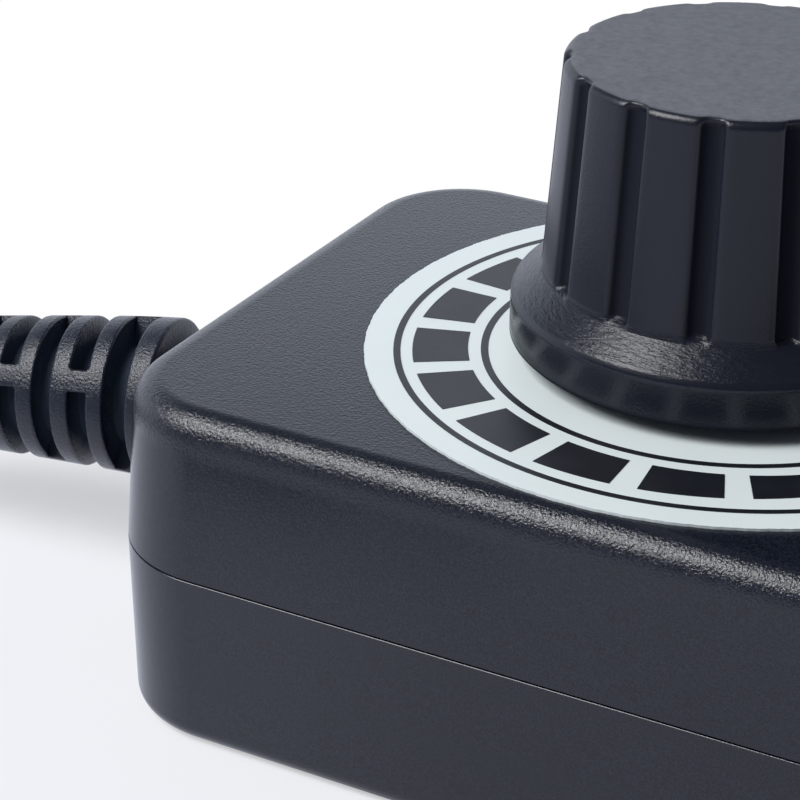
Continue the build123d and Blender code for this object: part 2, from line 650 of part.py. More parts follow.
def lead_wire(side):
    """One core, from the cut end of the jacket in a bend down to the board."""
    start = Vector(-lead_start, side * LEAD_DIAMETER / 4, PARTING_HEIGHT)
    bend = start + Vector(WIRE_REACH + WIRE_BEND, 0, 0)
    end = Vector(bend.X, bend.Y, board_top)
    return along(FilletPolyline(start, bend, end, radius=WIRE_BEND), WIRE_RADIUS)


def on_plug(shape):
    """Set a shape drawn upwards from the origin on the end of the lead, pointing along +X."""
    return Pos(route[-1]) * Rot(0, 90, 0) * shape


def plug_overmould():
    """Grip with a tapered tail."""
    rim = PLUG_GRIP_RADIUS - PLUG_EDGE
    half = make_face(Polyline((0, 0), (PLUG_TAIL_RADIUS, 0), (PLUG_GRIP_RADIUS, PLUG_TAIL_LENGTH),
                              (PLUG_GRIP_RADIUS, PLUG_LENGTH - PLUG_EDGE), (rim, PLUG_LENGTH),
                              (0, PLUG_LENGTH), close=True))
    return on_plug(revolve(Plane.XZ * half, Axis.Z))


def plug_sleeve():
    """Outer contact of the barrel."""
    mouth = PLUG_LENGTH + SLEEVE_LENGTH
    return on_plug(tube(SLEEVE_RADIUS, SLEEVE_RADIUS - SLEEVE_WALL, PLUG_LENGTH, mouth))


def plug_insulator():
    """Ring between the two contacts, set back from the barrel's mouth."""
    outer = SLEEVE_RADIUS - SLEEVE_WALL - PLUG_CLEARANCE
    inner = CONTACT_BORE_RADIUS + CONTACT_WALL + PLUG_CLEARANCE
    return on_plug(tube(outer, inner, PLUG_LENGTH, PLUG_LENGTH + SLEEVE_LENGTH - INSULATOR_STEP))


def plug_contact():
    """Inner contact tube."""
    top = PLUG_LENGTH + SLEEVE_LENGTH - 2 * INSULATOR_STEP
    return on_plug(tube(CONTACT_BORE_RADIUS + CONTACT_WALL, CONTACT_BORE_RADIUS, PLUG_LENGTH, top))


PIECES = {
    "top_shell": top_shell,
    "bottom_shell": bottom_shell,
    "dial_label": dial_label,
    "dial_print": dial_print,
    "knob": knob,
    "pot_bushing": pot_bushing,
    "pot_washer": pot_washer,
    "pot_nut": pot_nut,
    "pot_shaft": pot_shaft,
    "pot_wafer": pot_wafer,
    "pot_rotor": pot_rotor,
    "pot_wiper": pot_wiper,
    "pot_case": pot_case,
    "pot_terminals": pot_terminals,
    "circuit_board": circuit_board,
    "power_transistor": power_transistor,
    "timer_chip": timer_chip,
    "reservoir_capacitor": reservoir_capacitor,
    "ceramic_capacitors": ceramic_capacitors,
    "chip_resistors": chip_resistors,
    "blocking_diode": blocking_diode,
    "jack_body": jack_body,
    "jack_pin": jack_pin,
    "jack_spring": jack_spring,
    "strain_relief": strain_relief,
    "lead_cord": lead_cord,
    "lead_wire_positive": lambda: lead_wire(1),
    "lead_wire_negative": lambda: lead_wire(-1),
    "plug_overmould": plug_overmould,
    "plug_sleeve": plug_sleeve,
    "plug_insulator": plug_insulator,
    "plug_contact": plug_contact,
}

os.makedirs("parts", exist_ok=True)
for name, make in PIECES.items():
    export_step(make(), f"parts/{name}.step")

print("bend radii of the lead:", [round(radius, 1) for radius in lead_radii])
print("length of the lead:", round(lead_line.length, 1))
print("length outside the wall:", round(lead_line.length - lead_inside, 1))
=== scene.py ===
# %% [markdown]
# # A rotary LED dimmer, dressed for its picture
# The CAD model gives every piece its place and size, and this lesson gives the pieces their surfaces.
# The picture is a close-up, about 17 pixels to a millimetre. A CAD mesh that looks round from a step
# away shows its flats at that distance, so the pieces in view are made again here with finer meshes.
# Their sizes are the CAD's own sizes, so the new pieces lie where the old ones were.

# %% Load the frame
from math import asin, atan2, cos, hypot, pi, radians, sin, tan

import bmesh
import bpy
from mathutils import Matrix, Vector


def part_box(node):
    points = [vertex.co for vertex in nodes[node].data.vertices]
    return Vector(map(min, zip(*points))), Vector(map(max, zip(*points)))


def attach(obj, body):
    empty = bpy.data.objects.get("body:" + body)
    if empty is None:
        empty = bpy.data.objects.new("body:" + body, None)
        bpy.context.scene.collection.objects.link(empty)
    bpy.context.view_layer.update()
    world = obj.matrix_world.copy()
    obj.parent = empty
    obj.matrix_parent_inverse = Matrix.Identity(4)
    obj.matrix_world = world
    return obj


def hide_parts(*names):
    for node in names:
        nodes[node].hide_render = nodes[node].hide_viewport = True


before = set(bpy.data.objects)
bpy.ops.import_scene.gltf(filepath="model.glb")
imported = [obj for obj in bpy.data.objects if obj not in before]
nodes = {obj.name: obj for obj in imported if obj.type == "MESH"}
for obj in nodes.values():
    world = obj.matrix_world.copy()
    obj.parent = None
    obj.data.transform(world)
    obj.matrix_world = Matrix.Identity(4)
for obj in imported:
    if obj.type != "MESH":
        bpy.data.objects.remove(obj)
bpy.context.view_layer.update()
MM = 0.001

# %% [markdown]
# ## Camera
# The photograph was taken with a long lens from the front right, a little above the box.
# A camera can be aimed with a constraint, or given its place and its turns outright.
# Here the turns were worked out from the dial's circle, so they are written down: a turn about the
# upright, a tilt up from straight down, and a small roll of the picture.

# %% Place the camera
CAMERA_PLACE = Vector((52.03, -128.80, 86.41)) * MM
CAMERA_TURN, CAMERA_TILT, CAMERA_ROLL = radians(28.757), radians(63.634), radians(0.583)
CAMERA_LENS = 128.1

camera = bpy.data.objects.new("camera", bpy.data.cameras.new("camera"))
bpy.context.scene.collection.objects.link(camera)
camera.data.lens = CAMERA_LENS
camera.data.clip_start = 0.01
turns = Matrix.Rotation(CAMERA_TURN, 4, "Z") @ Matrix.Rotation(CAMERA_TILT, 4, "X")
camera.matrix_world = Matrix.Translation(CAMERA_PLACE) @ turns @ Matrix.Rotation(CAMERA_ROLL, 4, "Z")
bpy.context.scene.camera = camera
bpy.context.scene.view_settings.view_transform = "Standard"
print("camera at", [round(value / MM, 1) for value in CAMERA_PLACE], "mm")

# %% [markdown]
# ## Shader sums
# A finish is a graph of nodes, and a graph built call by call is hard to read back.
# This small class wraps a node's output, so that a sum of outputs can be written as a sum.
# Numbers use Math nodes, vectors use Vector Math and colours use Mix, because a Math node turns
# a colour grey.


# %% The class for shader sums
class Wire:
    """One output of a shader node, usable in sums."""

    def __init__(self, tree, socket):
        self.tree = tree
        self.socket = socket

    def node(self, kind, settings=None, sockets=None, output=0):
        """Add any node: its type, its settings, then the values or links of its sockets."""
        made = self.tree.nodes.new("ShaderNode" + kind)
        for name, setting in (settings or {}).items():
            setattr(made, name, setting)
        for name, value in (sockets or {}).items():
            self.feed(made.inputs[name], value)
        return Wire(self.tree, made.outputs[output])

    def feed(self, target, value):
        """Link a wire to a socket, or set the socket's own value."""
        if isinstance(value, Wire):
            self.tree.links.new(value.socket, target)
        else:
            target.default_value = value

    def sum(self, operation, first, second):
        """Join two values by one operation, with the node that suits their kind."""
        kinds = {value.socket.type for value in (first, second) if isinstance(value, Wire)}
        if "RGBA" in kinds:
            settings = {"data_type": "RGBA", "blend_type": operation}
            return self.node("Mix", settings, {0: 1.0, 6: as_colour(first), 7: as_colour(second)}, 2)
        if "VECTOR" in kinds:
            sockets = {0: as_vector(first), 1: as_vector(second)}
            return self.node("VectorMath", {"operation": operation}, sockets)
        return self.node("Math", {"operation": operation}, {0: first, 1: second})

    def __add__(self, other):
        return self.sum("ADD", self, other)

    def __radd__(self, other):
        return self.sum("ADD", other, self)

    def __sub__(self, other):
        return self.sum("SUBTRACT", self, other)

    def __rsub__(self, other):
        return self.sum("SUBTRACT", other, self)

    def __mul__(self, other):
        return self.sum("MULTIPLY", self, other)

    def __rmul__(self, other):
        return self.sum("MULTIPLY", other, self)

    def __pow__(self, other):
        return self.sum("POWER", self, other)

    def __rpow__(self, other):
        return self.sum("POWER", other, self)

    def step(self, low, high):
        """A soft step from 0 at low to 1 at high."""
        settings = {"interpolation_type": "SMOOTHSTEP"}
        if low > high:
            return 1 - self.step(high, low)
        return self.node("MapRange", settings, {"Value": self, "From Min": low, "From Max": high})

    def parts(self):
        """The three numbers of a vector."""
        split = self.node("SeparateXYZ", sockets={0: self}).socket.node
        return [Wire(self.tree, output) for output in split.outputs]

    def pick(self, first, second):
        """Go from one colour to another as this value goes from 0 to 1."""
        sockets = {0: self, 6: as_colour(first), 7: as_colour(second)}
        return self.node("Mix", {"data_type": "RGBA"}, sockets, 2)


def as_colour(value):
    """A number as a grey, a triple as a colour, and a wire as it is."""
    if isinstance(value, Wire):
        return value
    return (value, value, value, 1) if isinstance(value, (int, float)) else (*value, 1)


def as_vector(value):
    """A number as three equal ones, and anything else as it is."""
    return (value, value, value) if isinstance(value, (int, float)) else value


print("operators:", [name for name in vars(Wire) if name.startswith("__")])

# %% [markdown]
# ## Starting a finish
# Every finish here begins in the same way: a Principled shader, and the place on the piece in millimetres.
# The place comes from object coordinates. They ride with the piece, so the grain turns with the knob,
# and they need no unwrapped map. Fixed numbers go straight on the shader's sockets.
# In close-up, deep grooves in black plastic look flat and dull, because their walls hide the shine.
# A second, dull and dark shader is mixed in where the surface is deep: painted shade that stands for that.


# %% Helpers for finishes
def srgb(red, green, blue):
    """A colour given as 0 to 255, as the linear numbers that a shader works in."""
    shares = [channel / 255 for channel in (red, green, blue)]
    return [share / 12.92 if share <= 0.04045 else ((share + 0.055) / 1.055) ** 2.4 for share in shares]


def start_finish(name, **fixed):
    """A new material with its fixed numbers set: returns it, its shader and the place in millimetres."""
    material = bpy.data.materials.new(name)
    material.use_nodes = True
    tree = material.node_tree
    shader = tree.nodes["Principled BSDF"]
    for socket, value in fixed.items():
        shader.inputs[socket.replace("_", " ")].default_value = value
    place = Wire(tree, tree.nodes.new("ShaderNodeTexCoord").outputs["Object"]) * (1 / MM)
    return material, shader, place


def noise(place, size, detail=2.0, roughness=0.5):
    """Soft noise whose blotches are about so many millimetres across."""
    sockets = {"Vector": place, "Scale": 1 / size, "Detail": detail, "Roughness": roughness}
    return place.node("TexNoise", sockets=sockets)


def shades(share, colour, low, high):
    """A colour that goes from its darker to its lighter shade as a share goes from 0 to 1."""
    return share.pick([low * part for part in colour], [high * part for part in colour])


def paint_deep_shade(finish, shader, share, colour):
    """Painted shade: go over to a dull dark surface without any shine, as deep as a share from 0 to 1 says.
    """
    sockets = {"Base Color": as_colour(colour), "Roughness": 1.0, "Specular IOR Level": 0.0}
    # The dull shader is the painted shade: no shine and a dark colour.
    dull = share.node("BsdfPrincipled", sockets=sockets)
    mixed = share.node("MixShader", sockets={0: share, 1: Wire(share.tree, shader.outputs[0]), 2: dull})
    share.feed(finish.node_tree.nodes["Material Output"].inputs["Surface"], mixed)


def relief_bump(shader, height, depth):
    """Let a height from 0 to 1 tilt the surface, as if it were that many millimetres deep."""
    bump = height.node("Bump", sockets={"Height": height, "Strength": 1.0, "Distance": depth * MM})
    height.feed(shader.inputs["Normal"], bump)


print("white in linear numbers:", srgb(255, 255, 255), "mid grey:", round(srgb(128, 128, 128)[0], 3))

# %% [markdown]
# ## Meshes from rows of points
# Nearly every piece here is a grid: rows of points, each row a closed ring, joined to the next by quads.
# A lathe or a screw modifier would do for the round pieces, but not for a fluted knob or a slotted relief.
# A grid does for all of them. Where a flat face meets a round edge, an extra row close to the edge holds
# the flat face flat in the shading.


# %% Helpers for meshes
SHARP_ANGLE = radians(35)


def make_piece(name, vertices, faces, body, finish, slot, *stands_for):
    """A mesh piece in millimetres, smooth where its faces meet gently, that rides on a body."""
    mesh = bpy.data.meshes.new(name)
    mesh.from_pydata([Vector(vertex) * MM for vertex in vertices], [], faces)
    return finish_piece(name, mesh, body, finish, slot, *stands_for)


def finish_piece(name, mesh, body, finish, slot, *stands_for):
    """Turn a mesh into a piece: normals, smoothing, finish, body and the nodes that it stands for."""
    grid = bmesh.new()
    grid.from_mesh(mesh)
    bmesh.ops.recalc_face_normals(grid, faces=grid.faces)
    grid.to_mesh(mesh)
    grid.free()
    mesh.shade_smooth()
    mesh.set_sharp_from_angle(angle=SHARP_ANGLE)
    mesh.materials.clear()
    mesh.materials.append(finish)
    piece = bpy.data.objects.new(name, mesh)
    bpy.context.scene.collection.objects.link(piece)
    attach(piece, body)
    if stands_for:
        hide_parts(*stands_for)
    print(name, "has", len(mesh.polygons), "faces")
    return piece


def join_rows(rows, ring=True):
    """Points and faces of rows that are closed rings. In a ring of rows, the last row meets the first."""
    width = len(rows[0])
    faces = []
    for row in range(len(rows) if ring else len(rows) - 1):
        here, there = row * width, (row + 1) % len(rows) * width
        for column in range(width):
            after = (column + 1) % width
            faces.append((here + column, here + after, there + after, there + column))
    return [point for row in rows for point in row], faces


def arc_points(start, end, direction, steps):
    """Points on the arc that leaves start in a direction and ends at end, in a plane."""
    start, end, direction = Vector(start), Vector(end), Vector(direction).normalized()
    normal = Vector((-direction.y, direction.x))
    chord = end - start
    radius = chord.length_squared / (2 * chord.dot(normal))
    centre = start + normal * radius
    turn = (end - centre).angle_signed(start - centre)
    turns = [Matrix.Rotation(turn * step / steps, 2) for step in range(steps + 1)]
    return [centre + turned @ (start - centre) for turned in turns]


quarter_round = arc_points((1, 0), (0, 1), (0, 1), 2)
print("a quarter round in two steps:", [tuple(round(part, 2) for part in point) for point in quarter_round])

# %% [markdown]
# ## The lead
# The lead is a round two-core cable with a soft jacket. A free cable never has a kink, so its line is one
# smooth NURBS curve, drawn by a few control points: they are the CAD route's points.
# It leaves the box through the relief, sinks to the table and turns back to its plug, out of the picture.
# The order is set after the points are in, or Blender leaves the spline at straight runs.
# The relief is the same vinyl, and its mesh carries a depth at each point. The finish reads that depth to
# paint shade into the slots: a dull, dark, shineless surface. On a mesh without it, as on the lead, the
# depth reads as 0.

# %% Vinyl for the lead and the plug
PLASTIC_IOR = 1.5
SHADE_RANGE = (0.8, 1.2)
GRAIN_VINYL, CLOUD_VINYL = 0.17, 4.0
UNEVEN_VINYL = 0.12
DEPTH_NAME = "depth"
# The colour of the painted shade in the relief's slots.
SLOT_SHADE_COLOUR = srgb(62, 71, 84)


def soft_vinyl(name, colour, roughness, depth=0.1):
    """Soft black vinyl: a leathery grain, a little uneven in its gloss, and painted shade where its mesh is
    deep.
    """
    finish, shader, place = start_finish(name, IOR=PLASTIC_IOR)
    cells = noise(place, GRAIN_VINYL, 3.0, 0.6)
    cloud = noise(place, CLOUD_VINYL)
    place.feed(shader.inputs["Base Color"], shades(cloud, colour, *SHADE_RANGE))
    place.feed(shader.inputs["Roughness"], roughness + UNEVEN_VINYL * (cloud - 0.5))
    relief_bump(shader, cells, depth)
    # Painted shade: where the depth attribute is high, in the slots, a dull dark shader is mixed in.
    deep = place.node("Attribute", {"attribute_name": DEPTH_NAME}, output="Fac")
    paint_deep_shade(finish, shader, deep, SLOT_SHADE_COLOUR)
    return finish


LEAD_COLOUR = srgb(24, 26, 31)
lead_vinyl = soft_vinyl("lead_vinyl", LEAD_COLOUR, 0.45)
print("made", lead_vinyl.name)

# %% Lay the lead
LEAD_DIAMETER = 0.004
LEAD_ROUTE = [
    (-0.024473, 0.0, 0.01035),
    (-0.0312, 0.0, 0.01035),
    (-0.04335, -0.003, 0.00985),
    (-0.06325, -0.0051, 0.0074),
    (-0.08195, -0.012, 0.0034),
    (-0.09065, -0.0283, 0.0021),
    (-0.08555, -0.0461, 0.0021),
    (-0.06955, -0.0553, 0.0047),
    (-0.05255, -0.0553, 0.0047),
]


def lay_curve(name, route, radius):
    """One open NURBS spline with the route's points as its control points."""
    curve = bpy.data.curves.new(name, "CURVE")
    curve.dimensions = "3D"
    curve.resolution_u = 32
    spline = curve.splines.new("NURBS")
    spline.points.add(len(route) - 1)
    for point, place in zip(spline.points, route):
        point.co = (*place, 1.0)
    spline.order_u = 3
    spline.use_endpoint_u = True
    curve.bevel_depth = radius
    curve.bevel_resolution = 8
    curve.use_fill_caps = True
    line = bpy.data.objects.new(name, curve)
    bpy.context.scene.collection.objects.link(line)
    return line


lead = lay_curve("lead", LEAD_ROUTE, LEAD_DIAMETER / 2)
lead.data.materials.append(lead_vinyl)
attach(lead, "housing")
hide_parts("lead_cord")
print("the lead has", len(LEAD_ROUTE), "points")

# %% [markdown]
# ## Black moulded plastic
# The housing is black ABS from a mould whose steel was etched by sparks, so its skin is a field of dimples.
# The dimples break the highlight on the rounded edges into glints, and a bump from fine noise does that.
# The etch is full on the rounded edge, weaker on the flat top and faint on the walls, which slide out of the
# mould. The plastic is dyed right through, so its colour only has a fine speckle and a few paler flecks, and
# wear polishes it a little here and there, which shows in the roughness.

# %% Finish of the housing
GRAIN_HOUSING, SPECK, FLECK, CLOUD_HOUSING = 0.15, 0.12, 0.5, 9.0
EDGE_BAND, FLAT_TOP = (17.4, 18.3), (19.7, 19.84)
WALL_ETCH, TOP_ETCH = 0.13, 0.45
FLECK_SHARE = 0.3
HOUSING_RANGE = (0.88, 1.12)
HOUSING_GLOSS, HOUSING_DENT = 0.21, 0.055
HOUSING_COLOUR, FLECK_COLOUR = srgb(21, 25, 35), srgb(52, 54, 60)


def spark_plastic(name, colour, roughness, depth):
    """Spark-eroded black plastic: dimples, a fine speckle, a few flecks and a faint cloud of gloss."""
    finish, shader, place = start_finish(name, IOR=PLASTIC_IOR)
    dimples = noise(place, GRAIN_HOUSING, 2.0, 0.6)
    speck = noise(place, SPECK, 1.0).step(0.3, 0.7)
    cloud = noise(place, CLOUD_HOUSING, 3.0)
    fleck = noise(place, FLECK, 2.0).step(0.68, 0.78)
    tint = shades(cloud, colour, *HOUSING_RANGE) * (0.5 + speck)
    place.feed(shader.inputs["Base Color"], (FLECK_SHARE * fleck).pick(tint, FLECK_COLOUR))
    place.feed(shader.inputs["Roughness"], roughness + 0.1 * (cloud - 0.5))
    height = place.parts()[2]
    etched = WALL_ETCH + (1 - WALL_ETCH) * height.step(*EDGE_BAND) - (1 - TOP_ETCH) * height.step(*FLAT_TOP)
    relief_bump(shader, etched * dimples, depth)
    return finish


housing_plastic = spark_plastic("housing_plastic", HOUSING_COLOUR, HOUSING_GLOSS, HOUSING_DENT)
print("made", housing_plastic.name)

# %% [markdown]
# ## The two halves of the housing
# Each half is a drafted tub: its walls lean in so that it leaves its mould, and its far edge is rounded.
# A cube with a bevel would have the same corner all the way up. Here the halves are rings of a rounded
# rectangle, each ring set in by the draft, so the corners tighten towards the top as the real ones do.
# A tiny chamfer on each half draws the seam: dark under the upper half, bright on top of the lower one.
# The openings are then cut with Boolean modifiers, and the result is kept as a plain mesh.

# %% Rings of a rounded rectangle
BOX_LENGTH, BOX_WIDTH, BOX_HEIGHT = 55.9, 38.2, 19.85
SEAM_HEIGHT = 10.35
CORNER_RADIUS = 6.9
UPPER_DRAFT, LOWER_DRAFT = radians(3.6), radians(1.45)
TOP_EDGE, BOTTOM_EDGE = 1.65, 1.1
UPPER_CHAMFER, LOWER_CHAMFER = 0.12, 0.022
WALL, ROOF = 2.0, 1.8
CORNER_STEPS = 20
EDGE_STEPS = 12
HOLD = 0.12


def rounded_ring(inset, height):
    """One ring of the housing's outline, set in all round."""
    points = []
    radius = CORNER_RADIUS - inset
    for quarter, (side_x, side_y) in enumerate(((1, 1), (-1, 1), (-1, -1), (1, -1))):
        middle_x = side_x * (BOX_LENGTH / 2 - CORNER_RADIUS)
        middle_y = side_y * (BOX_WIDTH / 2 - CORNER_RADIUS)
        for step in range(CORNER_STEPS + 1):
            angle = pi / 2 * (quarter + step / CORNER_STEPS)
            points.append((middle_x + radius * cos(angle), middle_y + radius * sin(angle), height))
    return points


def tub_levels(rise, draft, edge, chamfer):
    """Insets and heights of one half's rings, from the seam to the flat face."""
    ball_height = rise - edge
    ball_inset = (edge + ball_height * sin(draft)) / cos(draft)
    levels = [(chamfer, 0.0), (chamfer * tan(draft), chamfer)]
    levels.append(((chamfer + HOLD) * tan(draft), chamfer + HOLD))
    round_start = ball_height + edge * sin(draft)
    levels.append(((round_start - HOLD) * tan(draft), round_start - HOLD))
    for step in range(EDGE_STEPS + 1):
        angle = draft + (pi / 2 - draft) * step / EDGE_STEPS
        levels.append((ball_inset - edge * cos(angle), ball_height + edge * sin(angle)))
    levels.append((ball_inset + HOLD, rise))
    return levels


def closed_tub(levels, base, direction):
    """Points and faces of a closed tub that grows up or down from a base height."""
    rows = [rounded_ring(inset, base + direction * height) for inset, height in levels]
    points, faces = join_rows(rows, ring=False)
    width = len(rows[0])
    faces.append(tuple(range(width)))
    faces.append(tuple(range(len(points) - width, len(points))))
    return points, faces


upper_rise = BOX_HEIGHT - SEAM_HEIGHT
print("levels of the upper half:", len(tub_levels(upper_rise, UPPER_DRAFT, TOP_EDGE, UPPER_CHAMFER)))

# %% Cut the openings
NECK_RADIUS = 4.05
BUSHING_HOLE = 3.7
KNOB_AXIS_Y = 3.15
jack_low, jack_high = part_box("jack_body")
WINDOW_GAP = 0.15


def box_points(low, high):
    """Points and faces of a plain cutting box."""
    points = [(x, y, z) for x in (low[0], high[0]) for y in (low[1], high[1]) for z in (low[2], high[2])]
    faces = [(0, 1, 3, 2), (4, 6, 7, 5), (0, 4, 5, 1), (2, 3, 7, 6), (0, 2, 6, 4), (1, 5, 7, 3)]
    return points, faces


def round_points(radius, start, end, steps=64):
    """Points and faces of a round cutter between two places."""
    start, end = Vector(start), Vector(end)
    forward = (end - start).normalized()
    side = forward.orthogonal().normalized()
    up = forward.cross(side)
    rows = []
    for place in (start, end):
        turns = [2 * pi * step / steps for step in range(steps)]
        rows.append([tuple(place + radius * (cos(turn) * side + sin(turn) * up)) for turn in turns])
    points, faces = join_rows(rows, ring=False)
    return points, faces + [tuple(range(steps)), tuple(range(steps, 2 * steps))]


def solid_mesh(points, faces):
    """A throw-away object for the Boolean modifiers, in millimetres."""
    mesh = bpy.data.meshes.new("cutter")
    mesh.from_pydata([Vector(point) * MM for point in points], [], faces)
    grid = bmesh.new()
    grid.from_mesh(mesh)
    bmesh.ops.recalc_face_normals(grid, faces=grid.faces)
    grid.to_mesh(mesh)
    grid.free()
    made = bpy.data.objects.new("cutter", mesh)
    bpy.context.scene.collection.objects.link(made)
    return made


def carve(solid, cutters):
    """The mesh that is left when the cutters are taken out of a solid."""
    body = solid_mesh(*solid)
    tools = [solid_mesh(*cutter) for cutter in cutters]
    for tool in tools:
        cut = body.modifiers.new("cut", "BOOLEAN")
        cut.operation = "DIFFERENCE"
        cut.solver = "EXACT"
        cut.object = tool
    graph = bpy.context.evaluated_depsgraph_get()
    mesh = bpy.data.meshes.new_from_object(body.evaluated_get(graph))
    for spent in [body, *tools]:
        bpy.data.objects.remove(spent)
    return mesh


window = box_points([jack_low.x / MM - 1, jack_low.y / MM - WINDOW_GAP, jack_low.z / MM - WINDOW_GAP],
                    [BOX_LENGTH, jack_high.y / MM + WINDOW_GAP, jack_high.z / MM + WINDOW_GAP])
neck_ends = (-BOX_LENGTH / 2 - 1, -BOX_LENGTH / 2 + 2 * WALL)
neck = round_points(NECK_RADIUS, *[(end, 0, SEAM_HEIGHT) for end in neck_ends])
hole = round_points(BUSHING_HOLE, (0, KNOB_AXIS_Y, SEAM_HEIGHT), (0, KNOB_AXIS_Y, BOX_HEIGHT + 1))


def housing_half(name, rise, draft, edge, direction, cutters):
    """One half of the housing, hollowed and cut."""
    chamfer = UPPER_CHAMFER if direction > 0 else LOWER_CHAMFER
    outside = closed_tub(tub_levels(rise, draft, edge, chamfer), SEAM_HEIGHT, direction)
    room = [(WALL, -1.0), (WALL + (rise - ROOF) * tan(draft), rise - ROOF)]
    inside = closed_tub(room, SEAM_HEIGHT, direction)
    mesh = carve(outside, [inside, *cutters])
    node = "top_shell" if direction > 0 else "bottom_shell"
    return finish_piece(name, mesh, "housing", housing_plastic, "housing_plastic", node)


housing_half("housing_upper", upper_rise, UPPER_DRAFT, TOP_EDGE, 1, [window, neck, hole])
housing_half("housing_lower", SEAM_HEIGHT, LOWER_DRAFT, BOTTOM_EDGE, -1, [window, neck])

# %% [markdown]
# ## The dial sticker
# The dial is a white vinyl sticker with black ink, punched out in a C so that its open side clears the
# back edge. An image texture would be quick, but it blurs at this distance. Here the sticker is a thin solid
# with a slightly uneven cut edge, and each printed mark is a thinner solid on it, so every edge stays crisp.
# A sticker is printed, punched and stuck on by hand. So the print, the cut edge and the knob each have a
# middle of their own, a few tenths of a millimetre apart, and the blocks' edges lean a little off theirs.

# %% Finishes of the sticker
FILM_IOR = 1.45
WHITE_SHADES = (srgb(211, 220, 220), srgb(221, 229, 227))
INK_SHADES = (srgb(16, 18, 24), srgb(26, 29, 36))
STICKER_DENT = 0.004


def sticker_white(name):
    """White vinyl with a cool cast and a faint unevenness in its gloss."""
    finish, shader, place = start_finish(name, IOR=FILM_IOR)
    cloud = noise(place, 6.0, 3.0)
    place.feed(shader.inputs["Base Color"], cloud.pick(*WHITE_SHADES))
    place.feed(shader.inputs["Roughness"], 0.34 + 0.1 * cloud)
    relief_bump(shader, noise(place, 0.4, 2.0), STICKER_DENT)
    return finish


def sticker_ink(name):
    """Printed black: a thin film, a little streaky, glossier than the box."""
    finish, shader, place = start_finish(name, IOR=PLASTIC_IOR)
    film = noise(place, 1.6, 4.0, 0.65)
    place.feed(shader.inputs["Base Color"], film.pick(*INK_SHADES))
    place.feed(shader.inputs["Roughness"], 0.3 + 0.15 * film)
    relief_bump(shader, noise(place, 0.3, 2.0), STICKER_DENT)
    return finish


label_white = sticker_white("label_white")
label_ink = sticker_ink("label_ink")
print("made", label_white.name, label_ink.name)

# %% Punch the sticker and print it
label_low, label_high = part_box("dial_label")
print_low, print_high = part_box("dial_print")
LABEL_OUTER = 19.9
LABEL_INNER = 7.5
LABEL_MIDDLE, PRINT_MIDDLE = Vector((0.24, 2.81)), Vector((0.24, 2.58))
LABEL_START, LABEL_SWEEP = radians(136.5), radians(259.6)
LINE_MARGIN = radians(3.0)
OUTER_LINE, INNER_LINE = (17.82, 18.20), (13.03, 13.43)
BLOCK_RING = (14.4, 16.6)
BLOCK_LEANS = (Vector((0.17, 0.25)), Vector((-0.45, -0.35)))
BLOCK_COUNT = 13
BLOCK_PITCH, BLOCK_ANGLE, BLOCK_FIRST = radians(19.7), radians(14.8), radians(147.3)
CHORD = 0.12
RAGGED = 0.035


def uneven(angle):
    """How far a punched edge strays at an angle, between about -1 and 1."""
    return 0.4 * sin(61 * angle) + 0.3 * sin(167 * angle + 1.3) + 0.3 * sin(389 * angle + 0.4)


def ring_sector(middle, inner, outer, start, sweep, bottom, top, ragged=0.0, leans=None):
    """Points and faces of a flat piece of a ring, whose inner and outer edges can lean off its middle."""
    inner_lean, outer_lean = leans or (Vector((0, 0)), Vector((0, 0)))
    steps = max(4, int(outer * sweep / CHORD))
    rows = []
    for step in range(steps + 1):
        angle = start + sweep * step / steps
        way = Vector((cos(angle), sin(angle)))
        near = (inner + inner_lean.dot(way)) * way
        far = (outer + ragged * uneven(angle) + outer_lean.dot(way)) * way
        corners = ((near, bottom), (far, bottom), (far, top), (near, top))
        rows.append([(*(middle + corner), height) for corner, height in corners])
    points, faces = join_rows(rows, ring=False)
    return points, faces + [(0, 1, 2, 3), tuple(range(len(points) - 4, len(points)))]


def add_up(solids):
    """Several solids as one list of points and faces."""
    points, faces = [], []
    for solid_points, solid_faces in solids:
        shift = len(points)
        points += solid_points
        faces += [tuple(index + shift for index in face) for face in solid_faces]
    return points, faces


label_levels = (label_low.z / MM, label_high.z / MM)
label_ring = (LABEL_MIDDLE, LABEL_INNER, LABEL_OUTER)
label = ring_sector(*label_ring, LABEL_START, LABEL_SWEEP, *label_levels, ragged=RAGGED)
make_piece("dial_sticker", *label, "housing", label_white, "label_white", "dial_label")

print_levels = (print_low.z / MM, print_high.z / MM)
marks = []
line_start, line_sweep = LABEL_START + LINE_MARGIN, LABEL_SWEEP - 2 * LINE_MARGIN
for near, far in (OUTER_LINE, INNER_LINE):
    marks.append(ring_sector(PRINT_MIDDLE, near, far, line_start, line_sweep, *print_levels))
block_ring = (PRINT_MIDDLE, *BLOCK_RING)
for index in range(BLOCK_COUNT):
    block_start = BLOCK_FIRST + index * BLOCK_PITCH - BLOCK_ANGLE / 2
    marks.append(ring_sector(*block_ring, block_start, BLOCK_ANGLE, *print_levels, leans=BLOCK_LEANS))
make_piece("dial_marks", *add_up(marks), "housing", label_ink, "label_ink", "dial_print")
